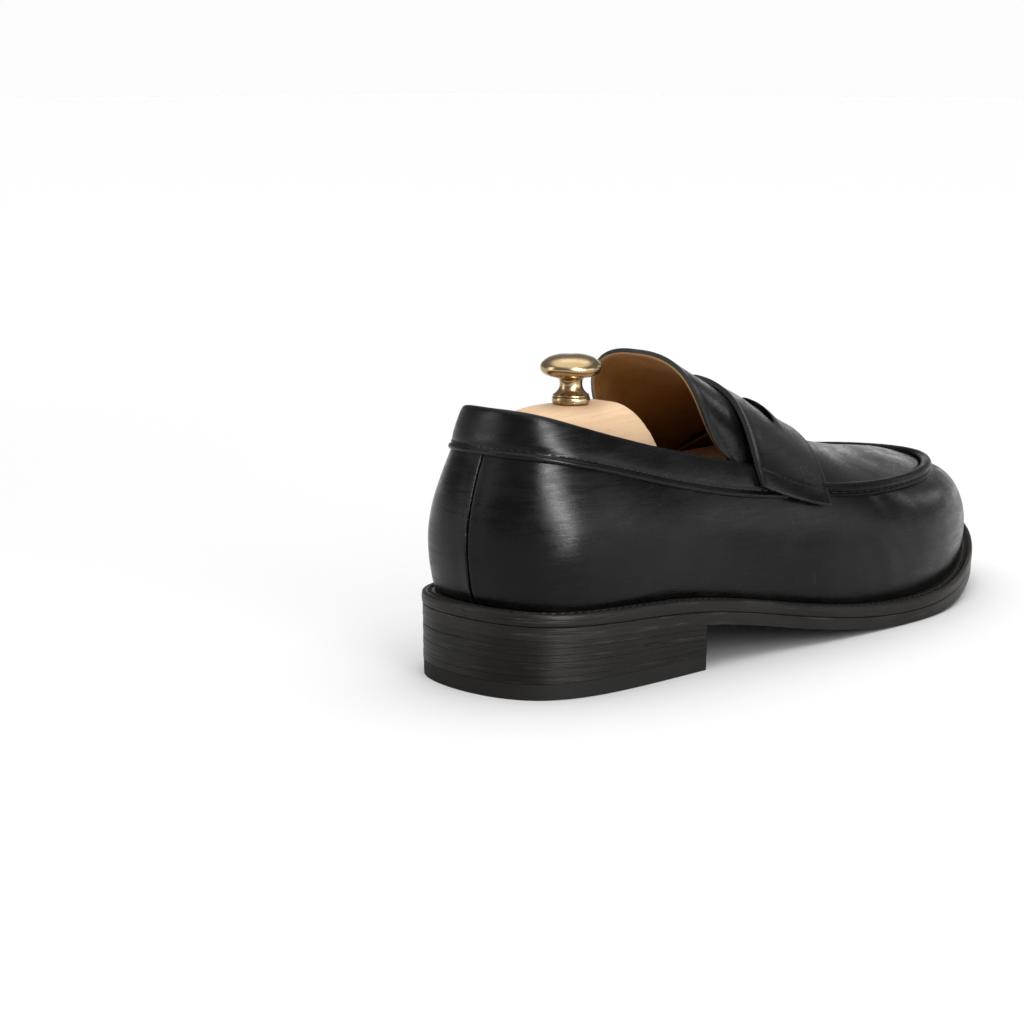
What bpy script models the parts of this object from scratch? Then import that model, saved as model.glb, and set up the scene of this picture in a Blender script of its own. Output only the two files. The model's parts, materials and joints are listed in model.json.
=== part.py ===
"""Penny loafer, right foot, with the folding shoe tree that stands in it.

Frame: metres, +X towards the toe, +Y towards the inner (medial) side, +Z up, and the
origin on the ground under the middle of the shoe.  The tables below are in millimetres
measured from the back of the heel, and place() turns them into this frame.
"""
import math

import bmesh
import bpy
import numpy as np
from mathutils import Matrix, Vector

MM = 0.001
X_MID = 142.25           # ground point under the middle of the shoe, from the heel back

# Bottom unit
BREAST_X = 78.2          # front face of the heel
TOP_PIECE = 5.6          # rubber top piece
LIFTS = 6                # leather lifts in the heel
WELT = 4.4               # welt thickness
SOLE_BOTTOM = 8.9        # welt top to sole bottom
SOLE_INSET = 0.3
HEEL_INSET = 0.2
GAP = 0.3                # left between pieces that touch
INSOLE = 2.6
SOCK = 1.0
WELT_WIDTH = 12.0

# Upper
LEATHER = 1.5
LINING = 0.9
STIFFENER = 1.1          # heel counter and toe puff
STRAP = 1.6
BEAD_R = 1.9             # raised seam round the apron
BEAD_LIFT = 2.3
BEAD_IN = 0.6
APRON_IN = 2.8           # apron edge, inward from the seam line

# One row per station round the shoe: back, outer side, toe, inner side.
# Welt edge x y, feather line inset, skirt top x y z, low bulge, high bulge, high drop.
RIBS = np.array([
    (0, 0, 4.5, 9, 0, 80, 6.5, 6.5, 0.33),
    (8, -24.5, 4.5, 15, -19, 79.3, 5.5, 6.5, 0.33),
    (32, -36, 4.0, 36, -29, 74.3, 4.5, 6.0, 0.35),
    (68, -39.5, 5.0, 70, -32, 65, 3.5, 5.0, 0.35),
    (104, -42.5, 5.0, 104, -37, 57.7, 3.5, 4.0, 0.35),
    (140, -48, 4.8, 137, -42.5, 54, 4.0, 5.0, 0.33),
    (175, -51.5, 5.2, 164, -44.5, 51.5, 5.0, 7.0, 0.27),
    (207, -51, 5.7, 192, -41, 50, 5.0, 10.0, 0.18),
    (235.2, -42.8, 5.2, 216.3, -33.4, 49.2, 5.0, 11.5, 0.12),
    (258.8, -29.6, 5.2, 236.8, -21.8, 48.8, 4.5, 12.5, 0.08),
    (276.2, -13.3, 5.5, 250, -9.2, 48.6, 4.0, 13.5, 0.06),
    (284.5, 4.5, 5.7, 254.4, 4.5, 48.5, 4.0, 14.0, 0.05),
    (279, 22.5, 5.5, 249.3, 18.2, 48.8, 4.0, 13.5, 0.06),
    (259, 38, 5.5, 235.3, 29.2, 49.6, 5.0, 12.5, 0.08),
    (231, 48, 5.5, 213, 37, 50.8, 5.0, 11.0, 0.12),
    (200, 51.5, 5.5, 187, 40.5, 52, 5.0, 9.0, 0.20),
    (170, 46, 5.0, 160, 39.5, 54, 5.0, 7.0, 0.28),
    (138, 37, 4.0, 135, 36, 56.5, 4.5, 5.0, 0.33),
    (104, 33, 3.5, 104, 33, 59.5, 4.0, 4.0, 0.35),
    (68, 36, 3.5, 70, 31.5, 65.5, 3.5, 5.0, 0.35),
    (30, 38, 4.0, 36, 30, 74.3, 4.5, 6.0, 0.35),
    (6.5, 27, 4.5, 14, 20, 79.3, 5.5, 6.5, 0.33),
], dtype=float)
STATIONS = len(RIBS)
TOE = 11                 # station at the tip of the toe
DIVISIONS = 3            # mesh rows between two stations, the same on every wall

# Height of the welt's top along the shoe: x, z
WELT_CURVE = np.array([
    (-3, 30.0), (0, 29.8), (40, 28.0), (80, 24.8), (125, 16.4), (175, 9.5),
    (202, 9.3), (225, 11.4), (245, 15.1), (270, 20.4), (290, 25.2),
])

# Topline of the collar, one row per station from -5 to 5
TOPLINE = np.array([
    (132, 33, 64), (104, 29.5, 69.5), (70, 26.5, 77.5), (38, 25.5, 86.5), (17.5, 17, 93.3),
    (12.5, 0, 94.6),
    (18, -16, 93.3), (38, -25, 86.5), (70, -27.5, 77.3), (104, -33, 69), (132, -39, 63),
], dtype=float)
COLLAR_END = 5

# Cross-sections of the tongue and of the strap: each is a cubic curve from the outer
# base over the crown.  Base, first handle, crown handle, crown; inner base, its handle.
TONGUE_RIM = np.array([(106, -30.4, 68), (91, -20, 76), (88.5, -35, 108.2),
                       (84.7, 0, 107.8), (106, 27, 68.5), (90, 26, 79)])
TONGUE_REAR = np.array([(117, -33, 62.5), (108, -31, 76), (118, -24, 91.4),
                        (118, 0, 93), (117, 29.3, 63.5), (108, 28, 76)])
TONGUE_MID = np.array([(133, -37.2, 57), (128, -35, 66), (139, -22, 79.4),
                       (143, 0, 81.6), (133, 32.4, 58.5), (128, 31.4, 66)])
STRAP_REAR = np.array([(108.4, -40, 60.7), (104, -36.6, 75.3), (118.5, -25, 93.4),
                       (118.5, 0, 95.3), (108.4, 35.8, 61.6), (104, 33.2, 75.3)])
STRAP_MID = np.array([(123, -44.4, 55), (121, -40.6, 67), (140, -23, 82.6),
                      (143.5, 0, 84.4), (123, 39.2, 57.5), (121, 36.6, 67)])
STRAP_FRONT = np.array([(138.1, -47.4, 50.9), (138.7, -44.4, 58.6), (164.5, -20.5, 71.2),
                        (168.4, 0, 72.8), (138.1, 42, 53.2), (138.7, 39.2, 60.6)])

# Penny slot in the strap: half width and half length across the foot
SLOT = (4.0, 21.0)
SLOT_BOW = 0.014         # the slot bows back with the strap: x falls by this times y squared

# Crown of the apron: station, x, z
APRON_CROWN = np.array([
    (5, 145, 80.6), (5.6, 163, 72.4), (6.3, 184, 64.6), (7, 204, 60.4), (8, 225, 57.2),
    (9, 240.6, 54.2), (10, 248.8, 52.0), (11, 251.6, 50.8),
])

# Shoe tree
TREE_DEPTH = 6.0         # tree surface below the outside of the skirt
SPLIT_GAP = 5.0          # between the two toe halves at rest
TREE_TOE_REAR = 5.95     # station of the halves' rear face
ROOF_STEPS = np.array([3.6, 2.4, 1.2])   # least distances of the roof points from the split
FREE = 0.4               # running clearance round sliding wood
BAR_HALF = 11.0
BAR_Z = (50.6, 62.6)
BAR_X = (89.1, 133.0)
CORE_X = (113.0, 155.0)
CORE_HALF = 15.5
CORE_TOP = 65.0
SLOT_END = 150.4
BAR_TRAVEL = 8.0
GUIDE_X = (190.0, 214.0)
GUIDE_Z = 30.0
GUIDE_R = 2.0
POCKET_R = 5.0
POCKET_DEPTH = 9.5
DOWEL_Y = 9.0
DOWEL_Z = (26.0, 34.0)
DOWEL_R = 3.2
HINGE = (88.5, 66.0)     # pin axis, x and z
KNUCKLE_R = 3.0
PIN_R = 1.5
LEAF = (-3.1, -1.9)      # the arms' faces, measured from the pin
SHOULDER = 55.0          # slope of the heel block's front, degrees
# Planes that shape the shoulder: start along the arm, distance off the pin, slope
SHOULDER_CUTS = ((-12.0, -3.4, SHOULDER), (-30.0, 16.5, 30.0))
BLOCK_FRONT = 87.6
BLOCK_TOP = 92.0
KNOB_X = 51.5
STUD_R = 2.0
# Knob profile, radius and height above the block, top first
KNOB = ((0.4, 17.1), (5.2, 16.7), (9.2, 15.0), (10.6, 12.6), (9.6, 10.6), (6.2, 9.4),
        (3.9, 8.6), (3.4, 7.2), (3.8, 5.6), (5.4, 3.9), (6.3, 3.1), (6.3, GAP))


# ---------------------------------------------------------------- curves and surfaces

def place(points):
    """Turn millimetres from the heel back into metres in the part's frame."""
    return (np.asarray(points, float) - (X_MID, 0.0, 0.0)) * MM


def closed_spline(rows, t):
    """Periodic cubic curve through rows, with a row at every whole number of t."""
    count = len(rows)
    matrix = 4 * np.eye(count) + np.roll(np.eye(count), 1, 0) + np.roll(np.eye(count), -1, 0)
    slope = np.linalg.solve(matrix, 3 * (np.roll(rows, -1, 0) - np.roll(rows, 1, 0)))
    t = np.asarray(t, float) % count
    i = np.floor(t).astype(int) % count
    j = (i + 1) % count
    s = (t - np.floor(t))[:, None]
    return ((2 * s**3 - 3 * s**2 + 1) * rows[i] + (s**3 - 2 * s**2 + s) * slope[i]
            + (3 * s**2 - 2 * s**3) * rows[j] + (s**3 - s**2) * slope[j])


def open_spline(knots, rows, x):
    """Natural cubic curve through rows at the given knots."""
    knots = np.asarray(knots, float)
    rows = np.asarray(rows, float).reshape(len(knots), -1)
    h = np.diff(knots)
    matrix = np.eye(len(knots))
    right = np.zeros_like(rows)
    for i in range(1, len(knots) - 1):
        matrix[i, i - 1:i + 2] = (h[i - 1], 2 * (h[i - 1] + h[i]), h[i])
        right[i] = 6 * ((rows[i + 1] - rows[i]) / h[i] - (rows[i] - rows[i - 1]) / h[i - 1])
    bend = np.linalg.solve(matrix, right)
    x = np.atleast_1d(np.asarray(x, float))
    k = np.clip(np.searchsorted(knots, x) - 1, 0, len(knots) - 2)
    a = (knots[k + 1] - x)[:, None]
    b = (x - knots[k])[:, None]
    w = h[k][:, None]
    return ((bend[k] * a**3 + bend[k + 1] * b**3) / (6 * w)
            + (rows[k] / w - bend[k] * w / 6) * a + (rows[k + 1] / w - bend[k + 1] * w / 6) * b)


def welt_z(x):
    """Height of the welt's top at x."""
    x = np.asarray(x, float)
    return open_spline(WELT_CURVE[:, 0], WELT_CURVE[:, 1], x.ravel())[:, 0].reshape(x.shape)


def outward(t, columns):
    """Horizontal outward direction of one of the curves that the ribs carry."""
    step = 1e-3
    ahead = closed_spline(RIBS, np.asarray(t) + step)[:, columns]
    behind = closed_spline(RIBS, np.asarray(t) - step)[:, columns]
    along = (ahead - behind) / np.linalg.norm(ahead - behind, axis=1)[:, None]
    return np.column_stack([along[:, 1], -along[:, 0]])


def welt_edge(t, inset):
    """Outline of the bottom, moved inward by inset."""
    return closed_spline(RIBS, t)[:, :2] - outward(t, [0, 1]) * np.reshape(inset, (-1, 1))


def feather_inset(t):
    """Distance from the welt's edge to the bottom of the upper."""
    return closed_spline(RIBS, t)[:, 2]


def stations(start, end):
    """Mesh stations between two stations, on the rows that all walls share."""
    first = math.ceil(start * DIVISIONS - 1e-6)
    last = math.floor(end * DIVISIONS + 1e-6)
    return np.arange(first, last + 1) / DIVISIONS


def bezier(p0, p1, p2, p3, v):
    """Cubic through control points, all arrays that broadcast."""
    return (1 - v)**3 * p0 + 3 * v * (1 - v)**2 * p1 + 3 * v**2 * (1 - v) * p2 + v**3 * p3


def skirt(t, v):
    """Outside of the skirt: t is the station, v runs from the welt to the top edge."""
    rib = closed_spline(RIBS, t)
    out = outward(t, [0, 1])
    base = rib[:, :2] - out * rib[:, 2:3]
    foot = np.column_stack([base, welt_z(base[:, 0]) + GAP])
    top = rib[:, 3:6]
    height = (top[:, 2] - foot[:, 2])[:, None]
    low = foot + np.column_stack([out * rib[:, 6:7], 0.42 * height])
    high = top + np.column_stack([out * rib[:, 7:8], -rib[:, 8:9] * height])
    v = np.asarray(v, float)[None, :, None]
    return bezier(foot[:, None], low[:, None], high[:, None], top[:, None], v)


def collar(t, v):
    """Outside of the collar: t from -5 to 5, v from the skirt's top to the topline."""
    low = closed_spline(RIBS, t)[:, 3:6]
    high = open_spline(np.arange(-COLLAR_END, COLLAR_END + 1), TOPLINE, t)
    v = np.asarray(v, float)[None, :, None]
    return (1 - v) * low[:, None] + v * high[:, None]


def normals(surface, t, v):
    """Unit normals of a surface, pointing away from the inside of the shoe."""
    step = 2e-3
    t = np.asarray(t, float)
    v = np.asarray(v, float)
    across = surface(t + step, v) - surface(t - step, v)
    low = np.clip(v - step, 0, 1)
    high = np.clip(v + step, 0, 1)
    up = surface(t, high) - surface(t, low)
    normal = np.cross(across, up)
    return normal / np.linalg.norm(normal, axis=2)[:, :, None]


def beneath(surface, t, v, depth):
    """Points of a surface moved inward by depth."""
    return surface(np.asarray(t, float), v) - depth * normals(surface, t, v)


def seam_edge(t, inset, lift):
    """The skirt's top edge moved inward and up."""
    top = closed_spline(RIBS, t)[:, 3:6]
    moved = top[:, :2] - outward(t, [3, 4]) * inset
    return np.column_stack([moved, top[:, 2] + lift])


def apron(t, w, drop=0.0, inset=APRON_IN):
    """Outside of the apron: t from 5 to 11, w from -1 (outer) over 0 to 1 (inner)."""
    t = np.asarray(t, float)
    crown = open_spline(APRON_CROWN[:, 0], APRON_CROWN[:, 1:], t)
    outer = seam_edge(t, inset, BEAD_LIFT)
    inner = seam_edge(STATIONS - t, inset, BEAD_LIFT)
    middle = np.column_stack([crown[:, 0], (outer[:, 1] + inner[:, 1]) / 2, crown[:, 1]])
    rows = []
    for value in np.asarray(w, float):
        side = outer if value < 0 else inner
        reach = middle - side
        first = side + reach * (0.05, 0.14, 0.16)
        second = middle - reach * (0.2, 0.42, 0.24)
        rows.append(bezier(side, first, second, middle, 1 - abs(value)))
    grid = np.stack(rows, axis=1)
    grid[:, :, 2] -= drop
    return grid


def arch(section, w):
    """Points over one cross-section, w from -1 (outer) to 1 (inner)."""
    base, handle, over, crown, inner_base, inner_handle = section
    mirror = over * (1, -1, 1)
    points = []
    for value in w:
        if value < 0:
            points.append(bezier(base, handle, over, crown, 1 + value))
        else:
            points.append(bezier(inner_base, inner_handle, mirror, crown, 1 - value))
    return np.array(points)


def arch_surface(sections, s, w):
    """Surface over a row of cross-sections, s from 0 to the last one."""
    sections = np.asarray(sections)
    flat = sections.reshape(len(sections), -1)
    rows = open_spline(np.arange(len(sections)), flat, s)
    return np.stack([arch(row.reshape(6, 3), w) for row in rows])


def tongue(s, v):
    """Outside of the tongue: s from 0 (rim) to 2, v from 0 (outer) to 1 (inner)."""
    return arch_surface([TONGUE_RIM, TONGUE_REAR, TONGUE_MID], s, 2 * np.asarray(v) - 1)


def strap(s, v):
    """Outside of the saddle strap: s from 0 (rear edge) to 2, v across the foot."""
    return arch_surface([STRAP_REAR, STRAP_MID, STRAP_FRONT], s, 2 * np.asarray(v) - 1)


# ---------------------------------------------------------------- meshes and materials

def clear_scene():
    for item in list(bpy.data.objects):
        bpy.data.objects.remove(item)


def material(name, colour, roughness, metallic=0.0):
    """A Principled material with a colour, a roughness and a metallic value."""
    made = bpy.data.materials.new(name)
    made.use_nodes = True
    shader = made.node_tree.nodes["Principled BSDF"]
    shader.inputs["Base Color"].default_value = (*colour, 1)
    shader.inputs["Roughness"].default_value = roughness
    shader.inputs["Metallic"].default_value = metallic
    made.diffuse_color = (*colour, 1)
    return made


def add_object(name, mesh_data, finish, smooth_angle=40):
    """Turn a bmesh into a named object with its own material."""
    bmesh.ops.remove_doubles(mesh_data, verts=mesh_data.verts, dist=1e-6)
    bmesh.ops.recalc_face_normals(mesh_data, faces=mesh_data.faces)
    mesh = bpy.data.meshes.new(name)
    mesh_data.to_mesh(mesh)
    mesh_data.free()
    mesh.shade_smooth()
    mesh.set_sharp_from_angle(angle=math.radians(smooth_angle))
    made = bpy.data.objects.new(name, mesh)
    bpy.context.collection.objects.link(made)
    mesh.materials.append(material(name, *finish))
    return made


def slab(name, outer, inner, finish, ring=False):
    """Closed solid between two grids of points of the same size."""
    outer = place(outer)
    inner = place(inner)
    rows, columns = outer.shape[:2]
    data = bmesh.new()
    top = [[data.verts.new(p) for p in row] for row in outer]
    low = [[data.verts.new(p) for p in row] for row in inner]
    spans = rows if ring else rows - 1
    for i in range(spans):
        k = (i + 1) % rows
        for j in range(columns - 1):
            data.faces.new((top[i][j], top[k][j], top[k][j + 1], top[i][j + 1]))
            data.faces.new((low[i][j], low[i][j + 1], low[k][j + 1], low[k][j]))
        for j in (0, columns - 1):
            data.faces.new((top[i][j], low[i][j], low[k][j], top[k][j]))
    if not ring:
        for i in (0, rows - 1):
            for j in range(columns - 1):
                data.faces.new((top[i][j], top[i][j + 1], low[i][j + 1], low[i][j]))
    return add_object(name, data, finish)


def loft(name, loops, finish):
    """Closed solid through a row of loops of points, with flat ends."""
    data = bmesh.new()
    rings = [[data.verts.new(p) for p in place(loop)] for loop in loops]
    count = len(rings[0])
    for first, second in zip(rings, rings[1:]):
        for i in range(count):
            k = (i + 1) % count
            data.faces.new((first[i], first[k], second[k], second[i]))
    data.faces.new(rings[0])
    data.faces.new(rings[-1])
    return add_object(name, data, finish)


def lathe(name, profile, centre, finish, steps=24):
    """Turned solid about a vertical axis; profile is radius and height, top first."""
    loops = []
    for radius, height in profile:
        ring = [(centre[0] + radius * math.cos(a), centre[1] + radius * math.sin(a), height)
                for a in np.linspace(0, 2 * math.pi, steps, endpoint=False)]
        loops.append(ring)
    return loft(name, loops, finish)


def rod(name, start, end, radius, finish, sides=12):
    """Straight round bar between two points."""
    start, end = (Vector(p) for p in place([start, end]))
    data = bmesh.new()
    turn = (end - start).to_track_quat("Z", "Y").to_matrix().to_4x4()
    bmesh.ops.create_cone(
        data, cap_ends=True, segments=sides, radius1=radius * MM, radius2=radius * MM,
        depth=(end - start).length, matrix=Matrix.Translation((start + end) / 2) @ turn)
    return add_object(name, data, finish)


def box(name, low, high, finish, bevel=0.0):
    """Box between two corners, with bevelled edges when bevel is given."""
    low, high = place([low, high])
    data = bmesh.new()
    size = Matrix.Diagonal((*(high - low), 1))
    bmesh.ops.create_cube(data, size=1, matrix=Matrix.Translation((low + high) / 2) @ size)
    if bevel:
        bmesh.ops.bevel(data, geom=data.edges[:], offset=bevel * MM, segments=2,
                        profile=0.5, affect="EDGES")
    return add_object(name, data, finish)


def cutter(made):
    """Mark an object as a tool that only cuts."""
    made.hide_render = True
    made.display_type = "WIRE"
    return made


def cut(made, tool):
    """Cut a hidden tool out of an object."""
    change = made.modifiers.new("Cut", "BOOLEAN")
    change.object = tool
    change.operation = "DIFFERENCE"
    change.solver = "EXACT"


# Finishes: colour, roughness, metallic
BLACK = ((0.016, 0.016, 0.017), 0.32)
EDGE = ((0.055, 0.043, 0.036), 0.42)
RUBBER = ((0.02, 0.02, 0.02), 0.7)
TAN = ((0.35, 0.2, 0.1), 0.6)
BOARD = ((0.42, 0.32, 0.22), 0.8)
CORK = ((0.36, 0.25, 0.15), 0.9)
STEEL = ((0.55, 0.55, 0.56), 0.35, 1.0)
BRASS = ((0.72, 0.52, 0.24), 0.22, 1.0)
BEECH = ((0.72, 0.52, 0.34), 0.5)
TOOL = ((0.8, 0.1, 0.1), 0.5)


# ---------------------------------------------------------------- bottom unit

def plate_grid(inset, height, start=0.0, end=TOE, steps=33, columns=5):
    """Grid over the bottom's outline between two stations, at a height above the welt."""
    t = np.linspace(start, end, steps)
    outer = welt_edge(t, inset)
    inner = welt_edge(STATIONS - t, inset)
    w = np.linspace(0, 1, columns)[None, :, None]
    flat = outer[:, None] * (1 - w) + inner[:, None] * w
    return np.concatenate([flat, (welt_z(flat[:, :, 0]) + height)[:, :, None]], axis=2)


def breast_station():
    """Station where the outline reaches the front of the heel."""
    t = np.linspace(2, 4, 400)
    return float(np.interp(BREAST_X, welt_edge(t, HEEL_INSET)[:, 0], t))


def heel_grid(inset, height, steps=13, columns=5):
    """Grid over the heel, from the back to its front face; height is a function of x."""
    t = np.linspace(0, breast_station(), steps)
    outer = welt_edge(t, inset)
    inner = welt_edge(STATIONS - t, inset)
    inner[-1] = (BREAST_X, inner[-1, 1])
    outer[-1] = (BREAST_X, outer[-1, 1])
    w = np.linspace(0, 1, columns)[None, :, None]
    flat = outer[:, None] * (1 - w) + inner[:, None] * w
    z = np.vectorize(height)(flat[:, :, 0])
    return np.concatenate([flat, z[:, :, None]], axis=2)


def heel_face(level):
    """Height at x of the joint above the given number of lifts."""
    def height(x):
        seat = float(welt_z(x)) - SOLE_BOTTOM
        return TOP_PIECE + (seat - TOP_PIECE) * level / LIFTS
    return height


def build_heel():
    top_inset = HEEL_INSET + 0.4
    slab("heel_top_piece", heel_grid(top_inset, lambda x: TOP_PIECE - GAP),
         heel_grid(top_inset, lambda x: 0.0), RUBBER)
    lifts = []
    for i in range(LIFTS):
        top = heel_face(i + 1)
        lifts.append(slab(
            f"heel_lift_{i + 1}", heel_grid(HEEL_INSET, lambda x, top=top: top(x) - GAP),
            heel_grid(HEEL_INSET, heel_face(i)), EDGE))
    return lifts


def build_nails(lifts):
    """Steel nails up through the lifts, each in its own drilled hole."""
    spots = [(14, 0), (27, -20), (27, 21), (62, -22), (62, 22)]
    for number, (x, y) in enumerate(spots, 1):
        low = TOP_PIECE + 0.4
        high = float(welt_z(x)) - SOLE_BOTTOM - 0.6
        rod(f"heel_nail_{number}", (x, y, low), (x, y, high), 1.1, STEEL, sides=8)
        hole = cutter(rod(f"nail_hole_{number}", (x, y, low - 1.5), (x, y, high + 2), 1.5,
                          TOOL, sides=8))
        for lift in lifts:
            cut(lift, hole)


def build_sole():
    slab("outsole", plate_grid(SOLE_INSET, -WELT - GAP), plate_grid(SOLE_INSET, -SOLE_BOTTOM),
         EDGE)


def build_welt():
    t = stations(0, STATIONS)[:-1]
    edge = welt_edge(t, 0.0)
    inside = welt_edge(t, WELT_WIDTH)
    top = []
    low = []
    for ring in (edge, inside):
        z = welt_z(ring[:, 0])
        top.append(np.column_stack([ring, z]))
        low.append(np.column_stack([ring, z - WELT]))
    slab("welt", np.stack(top, axis=1), np.stack(low, axis=1), EDGE, ring=True)


def build_fillings():
    """What lies inside the welt: heel seat, shank and cork."""
    inset = WELT_WIDTH + GAP
    slab("heel_seat_board", plate_grid(inset, -GAP, 0.0, 3.4, 12),
         plate_grid(inset, -WELT, 0.0, 3.4, 12), BOARD)
    slab("cork_filler", plate_grid(inset, -GAP, 5.4, TOE, 18),
         plate_grid(inset, -WELT, 5.4, TOE, 18), CORK)
    x = np.linspace(90, 142, 9)
    y = np.array([-7.0, 7.0])
    grid = np.stack([np.repeat(x[:, None], 2, 1), np.repeat(y[None], 9, 0)], axis=2)
    z = welt_z(grid[:, :, 0])[:, :, None]
    slab("shank", np.concatenate([grid, z - 2.2], 2), np.concatenate([grid, z - 3.8], 2), STEEL)


def bottom_plate(name, extra, low, high, finish):
    """A plate inside the upper, extra millimetres in from the feather line."""
    t = np.linspace(0, TOE, 33)
    inset = feather_inset(t) + extra
    inset_inner = feather_inset(STATIONS - t) + extra
    outer = welt_edge(t, inset)
    inner = welt_edge(STATIONS - t, inset_inner)
    w = np.linspace(0, 1, 5)[None, :, None]
    flat = outer[:, None] * (1 - w) + inner[:, None] * w
    z = welt_z(flat[:, :, 0])[:, :, None]
    slab(name, np.concatenate([flat, z + high], 2), np.concatenate([flat, z + low], 2), finish)


# ---------------------------------------------------------------- upper

def shell(name, surface, t, v, outside, inside, finish, ring=False):
    """Leather between two depths under a surface."""
    slab(name, beneath(surface, t, v, outside), beneath(surface, t, v, inside), finish, ring)


def inner_wall(t, v):
    """Skirt and collar as one surface: v up to 1 on the skirt, then up to the topline."""
    v = np.asarray(v, float) * 1.5
    wall = skirt(t, np.clip(v, 0, 1))
    rise = collar(t, np.clip((v - 1) * 2, 0, 1))
    return np.where((v <= 1)[None, :, None], wall, rise)


def build_wall():
    ring = stations(0, STATIONS)[:-1]
    v = np.linspace(0, 1, 7)
    shell("skirt", skirt, ring, v, 0.0, LEATHER, BLACK, ring=True)
    hidden = LEATHER + GAP
    shell("heel_counter", skirt, stations(-3, 3), v[1:6],
          hidden, hidden + STIFFENER, BOARD)
    puff = hidden + GAP
    shell("toe_puff", skirt, stations(8.4, 13.6), v[1:6],
          puff, puff + STIFFENER - GAP, BOARD)
    inside = hidden + STIFFENER + GAP
    levels = np.append(v[1:] / 1.5, (0.82, 0.98))
    fall = np.interp(levels, (0.6, 0.98), (inside, LEATHER + GAP))[None, :, None]
    shell("quarter_lining", inner_wall, stations(-3.7, 3.7), levels, fall, fall + LINING, TAN)
    shell("vamp_lining", skirt, stations(4, 18), v[1:6], inside + GAP, inside + GAP + LINING,
          TAN)


def build_collar():
    t = stations(-4.34, 4.34)
    v = np.array([0.03, 0.5, 1.0])
    outer = beneath(collar, t, v, -0.5)
    inner = beneath(collar, t, v, 1.2)
    slab("collar_band", outer, inner, BLACK)


def build_apron():
    t = np.linspace(5.06, TOE - 0.12, 18)
    w = np.linspace(-1, 1, 11)
    slab("apron", apron(t, w), apron(t, w, drop=LEATHER), BLACK)
    t = t[:-2]
    w = w[1:-1]
    hidden = LEATHER + GAP
    slab("apron_lining", apron(t, w, drop=hidden), apron(t, w, drop=hidden + LINING), TAN)


def build_bead():
    """Raised roll of the seam between the apron and the skirt."""
    t = np.linspace(5.6, STATIONS - 5.6, 34)
    spine = seam_edge(t, BEAD_IN, BEAD_LIFT)
    out = outward(t, [3, 4])
    loops = []
    for point, side in zip(spine, out):
        loop = []
        for angle in np.linspace(0, 2 * math.pi, 8, endpoint=False):
            reach = BEAD_R * math.cos(angle)
            loop.append(point + (side[0] * reach, side[1] * reach, BEAD_R * math.sin(angle)))
        loops.append(loop)
    loft("apron_seam_roll", loops, BLACK)


def build_tongue():
    s = np.linspace(0, 1.98, 7)
    v = np.linspace(0, 1, 17)
    shell("tongue", tongue, s, v, 0.0, LEATHER, BLACK)
    shell("tongue_lining", tongue, s, v, LEATHER + GAP, LEATHER + GAP + LINING, TAN)


def build_strap():
    """Saddle strap with a lens-shaped slot through its crown."""
    s = np.linspace(0, 2, 7)
    v = np.linspace(0, 1, 23)
    made = slab("saddle_strap", strap(s, v), beneath(strap, s, v, STRAP), BLACK)
    crown = strap(np.array([1.0]), np.array([0.5]))[0, 0]
    lens = []
    for angle in np.linspace(0, 2 * math.pi, 24, endpoint=False):
        y = SLOT[1] * math.sin(angle)
        lens.append((crown[0] - SLOT_BOW * y**2 + SLOT[0] * math.cos(angle), y))
    loops = [[(x, y, z) for x, y in lens] for z in (crown[2] - 14, crown[2] + 8)]
    cut(made, cutter(loft("slot_tool", loops, TOOL)))


# ---------------------------------------------------------------- shoe tree

def toe_loop(t, side):
    """Section of one toe half of the tree; side is -1 for the outer, 1 for the inner."""
    station = t if side < 0 else STATIONS - t
    v = np.linspace(0.22, 0.93, 6)
    wall = beneath(skirt, [station], v, TREE_DEPTH)[0]
    w = np.array([0.75, 0.45, 0.2]) * side
    roof = apron([t], w, drop=5.2)[0]
    face = side * SPLIT_GAP / 2
    roof[:, 1] = side * np.maximum(side * roof[:, 1], SPLIT_GAP / 2 + ROOF_STEPS)
    top = roof[-1].copy()
    top[1] = face
    floor = wall[0].copy()
    floor[1] = face
    return np.vstack([wall, roof, [top], [floor]])


def drill(made, name, start, end, radius, sides=12):
    """Bore a round hole in an object."""
    cut(made, cutter(rod(name, start, end, radius, TOOL, sides)))


def guide_bore(half, name, x, profile):
    """Bore a stepped hole across the shoe; profile is y and radius along it."""
    loops = []
    for y, radius in profile:
        loops.append([(x + radius * math.cos(a), y, GUIDE_Z + radius * math.sin(a))
                      for a in np.linspace(0, 2 * math.pi, 12, endpoint=False)])
    cut(half, cutter(loft(name, loops, TOOL)))


def build_toe_halves():
    """Two halves of the toe block, bored for the guide pins, springs and dowels."""
    rows = np.linspace(TREE_TOE_REAR, 10.2, 9)
    outer = loft("tree_toe_outer", [toe_loop(t, -1) for t in rows], BEECH)
    inner = loft("tree_toe_inner", [toe_loop(t, 1) for t in rows], BEECH)
    bore = GUIDE_R + FREE
    mouth = SPLIT_GAP / 2 - 1.5
    pocket = SPLIT_GAP / 2 + POCKET_DEPTH
    for number, x in enumerate(GUIDE_X, 1):
        guide_bore(inner, f"inner_bore_{number}", x, ((mouth, bore), (23.0, bore)))
        guide_bore(outer, f"outer_bore_{number}", x,
                   ((-mouth, POCKET_R), (-pocket, POCKET_R), (-pocket, bore), (-23.0, bore)))
    for number, z in enumerate(DOWEL_Z, 1):
        drill(inner, f"dowel_hole_{number}", (CORE_X[1], DOWEL_Y, z), (184.6, DOWEL_Y, z),
              DOWEL_R + GAP)


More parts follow.
